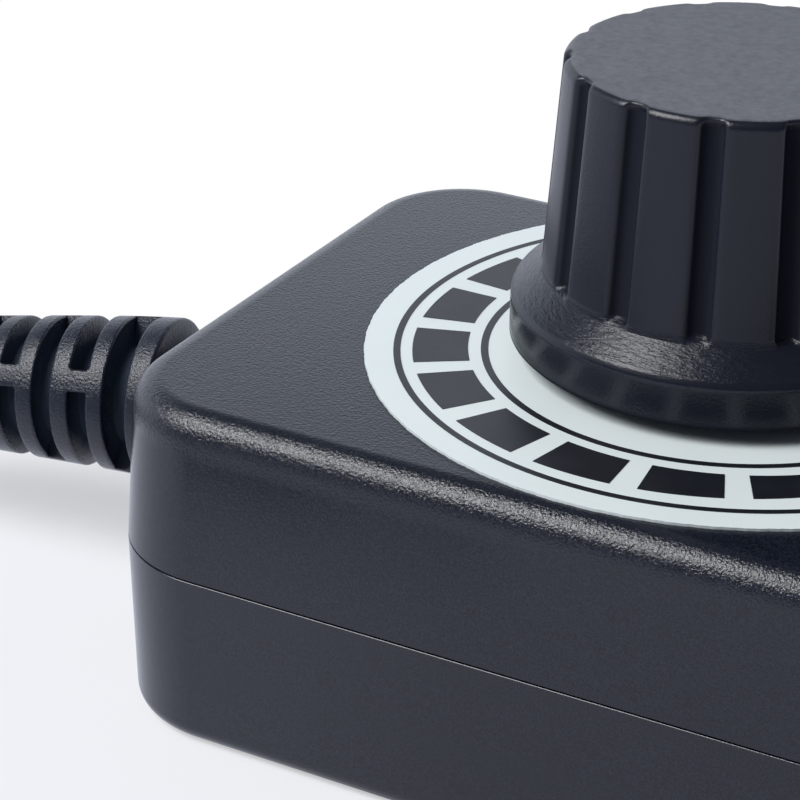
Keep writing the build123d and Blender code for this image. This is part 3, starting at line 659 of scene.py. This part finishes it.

# %% [markdown]
# ## The knob
# The knob is moulded in one piece: a leaning drum with fourteen flutes, a sloping flare and a glossy band
# below. A lathe gives the drum but not the flutes, and Booleans would leave the flutes' edges knife-sharp.
# So each ring of the grid walks round the drum and dips into every flute on the way, over a rolled rim.
# The flutes run out softly above the flare and get shallow at the top rim. These small radii catch the
# light as thin bright lines, as they do in the photograph.
# One finish serves the whole knob. Masks from height and radius tell its zones apart: satin drum, flutes
# with painted shade, worn pale top, flare with hair lines round it, band, and a foot with painted shade.

# %% Zones of the knob
TOP_RADIUS, WAIST_RADIUS, SKIRT_RADIUS = 9.53, 10.35, 11.95
WAIST_HEIGHT, BAND_HEIGHT = 3.9, 2.2
knob_low, knob_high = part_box("knob")
KNOB_FOOT = knob_low.z / MM
KNOB_HEIGHT = (knob_high.z - knob_low.z) / MM
LEAN = (WAIST_RADIUS - TOP_RADIUS) / (KNOB_HEIGHT - WAIST_HEIGHT)
DRUM_FOOT = TOP_RADIUS + LEAN * KNOB_HEIGHT
# The foot's shade range here and the flute ranges below bound the painted shade on the knob.
FOOT_SHADE, BAND_TOP, FLARE_FOOT, FLARE_TOP = (0.4, 0.2), (2.6, 2.3), (2.5, 2.8), (4.4, 4.1)
FLUTE_FOOT = (4.1, 4.4)
FLUTE_TOP = (KNOB_HEIGHT - 0.2, KNOB_HEIGHT - 0.6)
FLUTE_WALL = (DRUM_FOOT - 0.1, DRUM_FOOT - 0.3)
WORN_TOP = (KNOB_HEIGHT - 0.05, KNOB_HEIGHT - 0.01)


def knob_zones(place):
    """The knob's own angle and height, and masks for its flare, band and worn top, and for the painted shade
    in its flutes and on its foot.
    """
    x, y, z = place.parts()
    height = z - KNOB_FOOT
    y = y - KNOB_AXIS_Y
    angle = place.node("Math", {"operation": "ARCTAN2"}, {0: y, 1: x})
    outward = (x * x + y * y) ** 0.5 + LEAN * height
    return {
        "angle": angle,
        "height": height,
        "flute": outward.step(*FLUTE_WALL) * height.step(*FLUTE_FOOT) * height.step(*FLUTE_TOP),
        "flare": height.step(*FLARE_FOOT) * height.step(*FLARE_TOP),
        "band": height.step(*BAND_TOP),
        "worn": height.step(*WORN_TOP),
        "foot": height.step(*FOOT_SHADE),
    }


print("knob stands at", round(KNOB_FOOT, 2), "mm and is", round(KNOB_HEIGHT, 2), "mm high")

# %% Finish of the knob
# The second colour is the painted shade in the flutes and on the foot.
KNOB_COLOUR, KNOB_SHADE_COLOUR, KNOB_TOP_COLOUR = srgb(20, 24, 34), srgb(33, 36, 43), srgb(86, 88, 94)
KNOB_RANGE, WORN_RANGE = (0.85, 1.2), (0.45, 1.55)
KNOB_SHINE = 0.36
KNOB_DENT = 0.05
HAIR_WIDTH, HAIR_LENGTH, HAIR_SLANT, HAIR_WAVE = 0.11, 2.2, 0.25, 0.3


def knob_plastic_finish(name):
    """Black plastic: satin drum, painted shade in the flutes and on the foot, mottled top, hair lines on the
    flare and a glossy band.
    """
    finish, shader, place = start_finish(name, IOR=PLASTIC_IOR, Specular_IOR_Level=KNOB_SHINE)
    zones = knob_zones(place)
    worn, flare = zones["worn"], zones["flare"]
    cloud = noise(place, 2.2, 4.0, 0.6)
    along = HAIR_LENGTH * zones["angle"] + HAIR_SLANT * zones["height"]
    hair_place = place.node("CombineXYZ", sockets={0: along, 1: zones["height"], 2: HAIR_WAVE * cloud})
    hair = noise(hair_place, HAIR_WIDTH, 3.0, 0.6)
    mottle = noise(place, 0.45, 3.0, 0.6)
    dark, pale = shades(cloud, KNOB_COLOUR, *KNOB_RANGE), shades(mottle, KNOB_TOP_COLOUR, *WORN_RANGE)
    place.feed(shader.inputs["Base Color"], worn.pick(dark, pale))
    satin = 0.32 + 0.1 * (cloud - 0.5) + 0.2 * worn - 0.06 * flare - 0.12 * zones["band"]
    place.feed(shader.inputs["Roughness"], satin)
    fine = noise(place, 0.14, 2.0)
    relief_bump(shader, 0.25 * fine + 0.4 * worn * cloud + 1.2 * flare * hair, KNOB_DENT)
    # Painted shade: the flute beds and the foot's chamfer go dull and dark.
    paint_deep_shade(finish, shader, zones["flute"] + zones["foot"], KNOB_SHADE_COLOUR)
    return finish


knob_plastic = knob_plastic_finish("knob_plastic")
print("made", knob_plastic.name)

# %% Shape of the knob
SHOULDER = (0.35, 0.6)
RIM_FILLET = 0.5
BASE_CHAMFER = 0.2
GROOVE_COUNT, GROOVE_DEPTH, GROOVE_END = 14, 0.55, 4.0
FLUTE_PROFILE = [(1.1, 0), (0.9, 0.02), (0.78, 0.07), (0.69, 0.17), (0.61, 0.33)]
FLUTE_PROFILE += [(0.53, 0.54), (0.45, 0.73), (0.35, 0.87), (0.24, 0.95), (0.12, 0.99)]
FLUTE_START, FLUTE_STOP = (-0.1, 0.3), (0.5, 0.0)
FLUTE_RISE = 0.6
LAND_STEPS, FLARE_STEPS, DRUM_STEPS, RIM_STEPS = 10, 8, 8, 8
END_ROWS, END_PITCH = 8, 0.1
CROWN_RING = 7.6


def drum_radius(height):
    """The leaning drum's radius, carried on below the waist for the flutes' beds."""
    return TOP_RADIUS + LEAN * (KNOB_HEIGHT - height)


def soft_step(value, low, high):
    """A soft step from 0 at low to 1 at high, for plain numbers."""
    share = min(max((value - low) / (high - low), 0.0), 1.0)
    return share * share * (3 - 2 * share)


def flute_depth(height):
    """How deep the flutes are at a height: they run out softly above the flare and under the rim."""
    start = soft_step(height, GROOVE_END + FLUTE_START[0], GROOVE_END + FLUTE_START[1])
    stop = soft_step(height, KNOB_HEIGHT - FLUTE_STOP[0], KNOB_HEIGHT - FLUTE_STOP[1])
    return GROOVE_DEPTH * start * (1 - FLUTE_RISE * stop)


def groove_profile():
    """Offsets across one flute with the share of its depth at each: rolled rim, wall and bed."""
    left = [(-offset, share) for offset, share in FLUTE_PROFILE]
    return left + [(0.0, 1)] + [(-offset, share) for offset, share in reversed(left)]


def fluted_ring(radius, height, depth=0.0):
    """One ring of the knob, with flutes of a depth."""
    points = []
    profile = groove_profile()
    edge = asin(profile[-1][0] / radius)
    pitch = 2 * pi / GROOVE_COUNT
    for groove in range(GROOVE_COUNT):
        middle = groove * pitch
        for offset, share in profile:
            reach = (radius ** 2 - offset ** 2) ** 0.5 - share * depth
            turn = middle + atan2(offset, reach)
            points.append((hypot(reach, offset) * cos(turn), hypot(reach, offset) * sin(turn)))
        for step in range(1, LAND_STEPS):
            turn = middle + edge + (pitch - 2 * edge) * step / LAND_STEPS
            points.append((radius * cos(turn), radius * sin(turn)))
    return [(x, KNOB_AXIS_Y + y, KNOB_FOOT + height) for x, y in points]


print("a flute is", len(groove_profile()), "points wide")

# %% Rings of the knob
skirt = [(SKIRT_RADIUS - BASE_CHAMFER - HOLD, 0), (SKIRT_RADIUS - BASE_CHAMFER, 0)]
skirt += [(SKIRT_RADIUS, level) for level in (BASE_CHAMFER, BASE_CHAMFER + HOLD, BAND_HEIGHT - HOLD)]
flare_foot = Vector((SKIRT_RADIUS - SHOULDER[0], BAND_HEIGHT + SHOULDER[1]))
flare_top = Vector((WAIST_RADIUS, WAIST_HEIGHT))
skirt += arc_points((SKIRT_RADIUS, BAND_HEIGHT), flare_foot, (0, 1), 6)
skirt += [flare_foot.lerp(flare_top, step / FLARE_STEPS) for step in range(1, FLARE_STEPS + 1)]
rows = [fluted_ring(radius, height) for radius, height in skirt]
rim_start = KNOB_HEIGHT - RIM_FILLET
drum_start, drum_end = WAIST_HEIGHT + END_ROWS * END_PITCH, rim_start - (END_ROWS - 1) * END_PITCH
heights = [WAIST_HEIGHT + END_PITCH * step for step in range(1, END_ROWS + 1)]
heights += [drum_start + (drum_end - drum_start) * step / DRUM_STEPS for step in range(1, DRUM_STEPS + 1)]
heights += [drum_end + END_PITCH * step for step in range(1, END_ROWS)]
for height in heights:
    rows.append(fluted_ring(drum_radius(height), height, flute_depth(height)))
for step in range(1, RIM_STEPS + 1):
    angle = pi / 2 * step / RIM_STEPS
    height = rim_start + RIM_FILLET * sin(angle)
    radius = drum_radius(rim_start) - RIM_FILLET * (1 - cos(angle))
    rows.append(fluted_ring(radius, height, flute_depth(height)))
rows.append(fluted_ring(radius - HOLD, KNOB_HEIGHT, flute_depth(KNOB_HEIGHT)))
rows.append(fluted_ring(CROWN_RING, KNOB_HEIGHT))
print("knob rings:", len(rows), "points a ring:", len(rows[0]))

# %% Close the knob
shaft_low, shaft_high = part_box("pot_shaft")
SHAFT_SEAT = 0.05
SHAFT_HELD = 7.8
HUB_WALL = 1.6
CROWN = 3.0
SKIN = 1.4 + GROOVE_DEPTH
bore = (shaft_high.x - shaft_low.x) / 2 / MM + SHAFT_SEAT
bore_top = shaft_high.z / MM - KNOB_FOOT + SHAFT_SEAT
hub_foot = bore_top - SHAFT_SEAT - SHAFT_HELD
hub, roof = bore + HUB_WALL, KNOB_HEIGHT - CROWN
inside = [(bore, bore_top), (bore, hub_foot), (hub, hub_foot), (hub, roof), (TOP_RADIUS - SKIN, roof)]
inside += [(WAIST_RADIUS - SKIN, WAIST_HEIGHT), (WAIST_RADIUS - SKIN, 0.0)]
rows = [fluted_ring(radius, height) for radius, height in inside] + rows
points, faces = join_rows(rows, ring=False)
width = len(rows[0])
faces.append(tuple(range(width)))
faces.append(tuple(range(len(points) - width, len(points))))
make_piece("fluted_knob", points, faces, "spindle", knob_plastic, "knob_plastic", "knob")

# %% [markdown]
# ## The strain relief
# The relief is soft vinyl moulded over the lead. Slots cut into it from all round let it bend: one slot
# leaves bridges on two sides, the next leaves them on the other two, so the ribs close up in any direction.
# It could be ribs and blocks joined by Booleans, but the real rims are soft. Seen from its axis the surface
# has one radius at each place and angle, so a grid wrapped round the lead's own line gives every rib,
# slot and bridge, with rounded rims where the rows bunch up.
# The rib that the picture shows next to the box stands alone, as a collar: the gap before it is wide, where
# one rib is missing, and the slot after it is wider than the rest.
# Each point also keeps how deep it lies under the ribs, as an attribute of the mesh, for the vinyl finish,
# which paints shade into the slots from it.

# %% The line that the relief follows
def spline_points(route):
    """Points along a route's own NURBS spline, close together, in millimetres."""
    line = lay_curve("bare_line", route, 0.0)
    graph = bpy.context.evaluated_depsgraph_get()
    mesh = bpy.data.meshes.new_from_object(line.evaluated_get(graph))
    points = [vertex.co / MM for vertex in mesh.vertices]
    bpy.data.objects.remove(line)
    bpy.data.meshes.remove(mesh)
    return points


lead_points = spline_points(LEAD_ROUTE)
lead_steps = [(there - here).length for here, there in zip(lead_points, lead_points[1:])]
INSIDE_WALL = BOX_LENGTH / 2 + LEAD_ROUTE[0][0] / MM


def station(distance):
    """The place and direction of the lead at a distance outside the wall."""
    left = distance + INSIDE_WALL
    for here, there, step in zip(lead_points, lead_points[1:], lead_steps):
        if left <= step:
            break
        left -= step
    forward = (there - here).normalized()
    return here + forward * left, forward


print("length of the lead's line in mm:", round(sum(lead_steps), 1))

# %% Wrap the relief round the line
RELIEF_LENGTH = 26.0
ROOT_RADIUS, TIP_RADIUS = 5.35, 3.5
CORE_RADIUS, BORE_RADIUS = 3.0, 2.05
FLANGE_RADIUS, NECK_OUTSIDE, FLANGE_THICK = 5.2, 4.0, 1.1
SLOT_FIRST, SLOT_PITCH, SLOT_WIDTH, SLOT_COUNT = 1.52, 2.215, 1.05, 10
COLLAR = (5.67, 7.14)
BRIDGE_WIDTH = 1.45
# How far below a slot's rim the painted shade takes to come in fully.
DEEP = 0.4
RELIEF_TURN = radians(33)
SLOT_RIM = 0.2
WALL_GAP = 0.05
BRIDGE_EDGE = [(0.0, 1), (0.45, 1), (0.8, 1), (0.92, 0.96), (0.97, 0.8)]
BRIDGE_EDGE += [(1.03, 0.2), (1.1, 0.02), (1.25, 0)]
SLOT_FOOT = [(0.03, 0.2), (0.1, 0.04), (0.25, 0.0)]
BETWEEN_STEPS, RIM_ROWS, BORE_ROWS = 8, 5, 24


def rib_radius(distance):
    """The tapering outside of the ribs."""
    share = min(max(distance / RELIEF_LENGTH, 0.0), 1.0)
    return ROOT_RADIUS + (TIP_RADIUS - ROOT_RADIUS) * share


def relief_columns(radius):
    """Angles round the relief with how much of a bridge is there, for the two pairs of bridges."""
    half = asin(BRIDGE_WIDTH / 2 / radius)
    columns = []
    for quarter in range(4):
        middle = quarter * pi / 2 + RELIEF_TURN
        for share, bridge in reversed(BRIDGE_EDGE[1:]):
            columns.append((middle - half * share, quarter % 2, bridge))
        for share, bridge in BRIDGE_EDGE:
            columns.append((middle + half * share, quarter % 2, bridge))
        gap = pi / 2 - 2 * half * BRIDGE_EDGE[-1][0]
        for step in range(1, BETWEEN_STEPS):
            columns.append((middle + half * BRIDGE_EDGE[-1][0] + gap * step / BETWEEN_STEPS, 0, 0))
    return columns


def relief_ring(distance, radius, drop=0.0, pair=0):
    """One ring of the relief: a drop from the ribs' outside, held up where a bridge of this pair stands."""
    place, forward = station(distance)
    side = forward.cross(Vector((0, 0, 1))).normalized()
    down = forward.cross(side)
    points = []
    for angle, which, bridge in relief_columns(max(radius, TIP_RADIUS)):
        sunk = drop * (1 - bridge) if which == pair else drop
        spot = place + (radius - sunk) * (cos(angle) * side + sin(angle) * down)
        # The second number is the share of painted shade at the point, growing with its depth below the rim.
        points.append((tuple(spot), min(max(sunk - SLOT_RIM, 0.0) / DEEP, 1.0)))
    return points


def rim_steps():
    """A quarter round from the ribs' outside to a wall: how far back from the wall, and how far down."""
    angles = [pi / 2 * step / RIM_ROWS for step in range(RIM_ROWS + 1)]
    return [(SLOT_RIM * (1 - sin(angle)), SLOT_RIM * (1 - cos(angle))) for angle in angles]


def slot_rows(start, end, pair):
    """Rings of one slot: a rounded rim, a wall, the floor, and the same again."""
    middle = (start + end) / 2
    depth = rib_radius(middle) - CORE_RADIUS
    steps = [(-back, drop) for back, drop in rim_steps()]
    steps += [(offset, depth - rise) for offset, rise in SLOT_FOOT]
    places = [(start + offset, drop) for offset, drop in steps] + [(middle, depth)]
    places += [(end - offset, drop) for offset, drop in reversed(steps)]
    return [relief_ring(place, rib_radius(place), drop, pair) for place, drop in places]


print("columns round the relief:", len(relief_columns(TIP_RADIUS)))

# %% Rings of the relief
flange_back = -INSIDE_WALL
flange_front = flange_back + FLANGE_THICK
root = [(flange_back, BORE_RADIUS), (flange_back, FLANGE_RADIUS), (flange_front, FLANGE_RADIUS)]
root += [(flange_front, NECK_OUTSIDE), (WALL_GAP, NECK_OUTSIDE), (WALL_GAP, ROOT_RADIUS - SLOT_RIM)]
root += [(WALL_GAP + SLOT_RIM / 3, ROOT_RADIUS - SLOT_RIM / 4), (WALL_GAP + SLOT_RIM, ROOT_RADIUS)]
rows = [relief_ring(distance, radius) for distance, radius in root]
middles = [SLOT_FIRST + index * SLOT_PITCH for index in range(SLOT_COUNT)]
slots = [[middle - SLOT_WIDTH / 2, middle + SLOT_WIDTH / 2] for middle in middles]
slots[1][1], slots[3][0] = COLLAR
del slots[2]
for index, (start, end) in enumerate(slots):
    rows += slot_rows(start, end, (index + 1) % 2)
rows += [relief_ring(RELIEF_LENGTH - back, TIP_RADIUS - drop) for back, drop in rim_steps()]
for step in range(BORE_ROWS):
    rows.append(relief_ring(RELIEF_LENGTH - (RELIEF_LENGTH - flange_back) * step / BORE_ROWS, BORE_RADIUS))
print("slots:", len(slots), "rings:", len(rows))

# %% Skin the relief
RELIEF_COLOUR = srgb(19, 26, 40)
relief_vinyl = soft_vinyl("relief_vinyl", RELIEF_COLOUR, 0.28, 0.06)
skin = join_rows([[spot for spot, deep in row] for row in rows])
relief = make_piece("slotted_relief", *skin, "housing", relief_vinyl, "relief_vinyl", "strain_relief")
# These shares of painted slot shade become the mesh's depth attribute.
depths = [deep for row in rows for spot, deep in row]
relief.data.attributes.new(DEPTH_NAME, "FLOAT", "POINT").data.foreach_set("value", depths)
print("points deep in a slot:", sum(deep > 0.5 for deep in depths))

# %% [markdown]
# ## Pieces that keep their CAD meshes
# The plug, the socket and everything inside the box keep their CAD meshes, because their shapes are right.
# They still need finishes of their own. Plated metal is a fine brushed grain in the roughness, packages are
# dull moulded epoxy, and the board has a green mask over its copper.


# %% Finishes for metal
def brushed_metal(name, light, dark, roughness):
    """Plated or bare metal with fine drawing marks round it."""
    finish, shader, place = start_finish(name, Metallic=1.0)
    stretched = place * (0.4, 6.0, 6.0)
    marks = noise(stretched, 0.5, 3.0, 0.6)
    place.feed(shader.inputs["Base Color"], marks.pick(dark, light))
    place.feed(shader.inputs["Roughness"], roughness + 0.12 * marks)
    relief_bump(shader, marks, 0.002)
    return finish


plated_metal = brushed_metal("plated_metal", srgb(205, 206, 208), srgb(168, 170, 174), 0.22)
contact_brass = brushed_metal("contact_brass", srgb(214, 182, 112), srgb(176, 142, 80), 0.26)
print("made", plated_metal.name, contact_brass.name)


# %% Finishes for the plug, the packages and the board
def dull_moulding(name, colour, roughness, size):
    """Moulded plastic or epoxy: an even colour with a dull fine grain."""
    finish, shader, place = start_finish(name, IOR=PLASTIC_IOR)
    grain = noise(place, size, 3.0, 0.6)
    place.feed(shader.inputs["Base Color"], shades(grain, colour, *SHADE_RANGE))
    place.feed(shader.inputs["Roughness"], roughness + 0.1 * grain)
    relief_bump(shader, grain, 0.01)
    return finish


def board_mask(name):
    """Green solder mask with the slightly paler copper lines under it."""
    finish, shader, place = start_finish(name, IOR=PLASTIC_IOR)
    sockets = {"Vector": place, "Scale": 0.32, "Distortion": 6.0}
    lines = place.node("TexWave", {"bands_direction": "DIAGONAL"}, sockets)
    copper = lines.node("Math", {"operation": "SIGN"}, {0: lines - 0.62}).step(0.0, 1.0)
    place.feed(shader.inputs["Base Color"], copper.pick(srgb(18, 74, 42), srgb(30, 104, 58)))
    place.feed(shader.inputs["Roughness"], 0.28 + 0.1 * noise(place, 0.6))
    relief_bump(shader, copper, 0.02)
    return finish


FINISH_OF = {
    "plug_overmould": soft_vinyl("plug_vinyl", LEAD_COLOUR, 0.42),
    "plug_insulator": dull_moulding("plug_insulator", srgb(24, 24, 26), 0.4, 0.3),
    "jack_body": dull_moulding("jack_plastic", srgb(30, 30, 33), 0.4, 0.3),
    "pot_wafer": dull_moulding("element_board", srgb(108, 72, 44), 0.55, 0.5),
    "pot_rotor": dull_moulding("rotor_plastic", srgb(196, 190, 172), 0.5, 0.4),
    "power_transistor": dull_moulding("package_black", srgb(36, 36, 38), 0.5, 0.25),
    "reservoir_capacitor": dull_moulding("can_sleeve", srgb(28, 40, 74), 0.35, 0.8),
    "ceramic_capacitors": dull_moulding("ceramic_tan", srgb(170, 140, 104), 0.5, 0.3),
    "circuit_board": board_mask("board_green"),
    "lead_wire_positive": dull_moulding("wire_red", srgb(150, 26, 26), 0.4, 0.4),
    "pot_wiper": contact_brass,
    "plug_contact": contact_brass,
}
for name in ("timer_chip", "chip_resistors", "blocking_diode"):
    FINISH_OF[name] = FINISH_OF["power_transistor"]
FINISH_OF["lead_wire_negative"] = FINISH_OF["plug_insulator"]
for name in ("plug_sleeve", "jack_pin", "jack_spring", "pot_bushing", "pot_washer", "pot_nut", "pot_shaft",
             "pot_case", "pot_terminals"):
    FINISH_OF[name] = plated_metal
for name, finish in FINISH_OF.items():
    nodes[name].data.materials.clear()
    nodes[name].data.materials.append(finish)
print("CAD pieces dressed:", len(FINISH_OF))

# %% [markdown]
# ## Floor and light
# The photograph was taken on a white sweep: a pale floor that runs into a white background.
# A curved sheet would do it, but a flat floor that turns white with distance is simpler. Near the box the
# camera sees the lit floor with its shadow, half lifted to white, and further out it sees plain white.
# Shiny plastic shows that white too, so mirrored rays see it as well, a little cooler and from nearer by.
# One large soft box stands at the upper left. Its reflection is the bright band along the box's front edge.
# Behind the object and at its left the room is white near the horizon. It is dim overhead and in front,
# which draws the dark line above that band.

# %% Make the floor
FLOOR_HALF = 3.0
floor_mesh = bpy.data.meshes.new("floor")
corners = [(-1, -1, 0), (1, -1, 0), (1, 1, 0), (-1, 1, 0)]
floor_mesh.from_pydata([Vector(corner) * FLOOR_HALF for corner in corners], [], [(0, 1, 2, 3)])
floor = bpy.data.objects.new("floor", floor_mesh)
bpy.context.scene.collection.objects.link(floor)
print("floor is", 2 * FLOOR_HALF, "m wide")

# %% Finish of the floor
FLOOR_MIDDLE, FLOOR_FADE = (-10.0, -25.0, 0.0), (42.0, 70.0)
MIRROR_MIDDLE, MIRROR_FADE = (25.0, -45.0, 0.0), (34.0, 64.0)
FLOOR_COLOUR, MIRROR_WHITE = srgb(216, 219, 226), (0.86, 0.90, 1.04)
FLOOR_LIFT = 0.52


def whitening(place, middle, fade):
    """How white the floor is at a place, by its distance from a middle."""
    return place.node("VectorMath", {"operation": "DISTANCE"}, {0: place, 1: middle}, "Value").step(*fade)


finish, shader, place = start_finish("floor_white", Roughness=0.6, Specular_IOR_Level=0.2)
shader.inputs["Base Color"].default_value = as_colour(FLOOR_COLOUR)
kinds = ("Camera", "Glossy", "Transmission")
straight, glossy, through = [place.node("LightPath", output=f"Is {kind} Ray") for kind in kinds]
mirrored = glossy + through
glow = place.node("Emission", sockets={"Color": straight.pick(MIRROR_WHITE, 1.0), "Strength": 1.0})
seen = (FLOOR_LIFT + (1 - FLOOR_LIFT) * whitening(place, FLOOR_MIDDLE, FLOOR_FADE)) * straight
share = seen + whitening(place, MIRROR_MIDDLE, MIRROR_FADE) * mirrored
mixed = place.node("MixShader", sockets={0: share, 1: Wire(place.tree, shader.outputs[0]), 2: glow})
place.feed(finish.node_tree.nodes["Material Output"].inputs["Surface"], mixed)
floor_mesh.materials.append(finish)
print("floor turns white from", *FLOOR_FADE, "mm out")

# %% Light the room
ROOM_BRIGHT, ROOM_DIM = (1.06, 1.14, 1.28), (0.11, 0.12, 0.15)
ROOM_FADE = (0.62, 0.36)
ROOM_SIDE = (-0.3, 0.5)
ROOM_BACK, ROOM_LEFT = 0.85, 0.5
world = bpy.data.worlds.new("room")
bpy.context.scene.world = world
world.use_nodes = True
room = Wire(world.node_tree, world.node_tree.nodes.new("ShaderNodeTexCoord").outputs["Generated"])
across, away, lift = room.parts()
backdrop = lift.step(*ROOM_FADE) * (ROOM_BACK * away - ROOM_LEFT * across).step(*ROOM_SIDE)
background = world.node_tree.nodes["Background"]
room.feed(background.inputs["Color"], backdrop.pick(ROOM_DIM, ROOM_BRIGHT))
print("room turns white between lifts of", *ROOM_FADE)

# %% Hang the soft box
KEY_FROM = Vector((-0.43, -0.45, 0.78)).normalized()
KEY_DISTANCE, KEY_SIZE, KEY_POWER = 0.45, 0.24, 2.25
KEY_COLOUR = (0.985, 0.99, 1.0)
key = bpy.data.objects.new("key_light", bpy.data.lights.new("key_light", "AREA"))
bpy.context.scene.collection.objects.link(key)
key.data.size = KEY_SIZE
key.data.energy = KEY_POWER
key.data.color = KEY_COLOUR
key.location = KEY_FROM * KEY_DISTANCE
key.rotation_euler = KEY_FROM.to_track_quat("Z", "Y").to_euler()
print("key light at", [round(value, 3) for value in key.location], "m")

# %% [markdown]
# ## The pieces' box
# The new pieces must fill the same box as the CAD model.
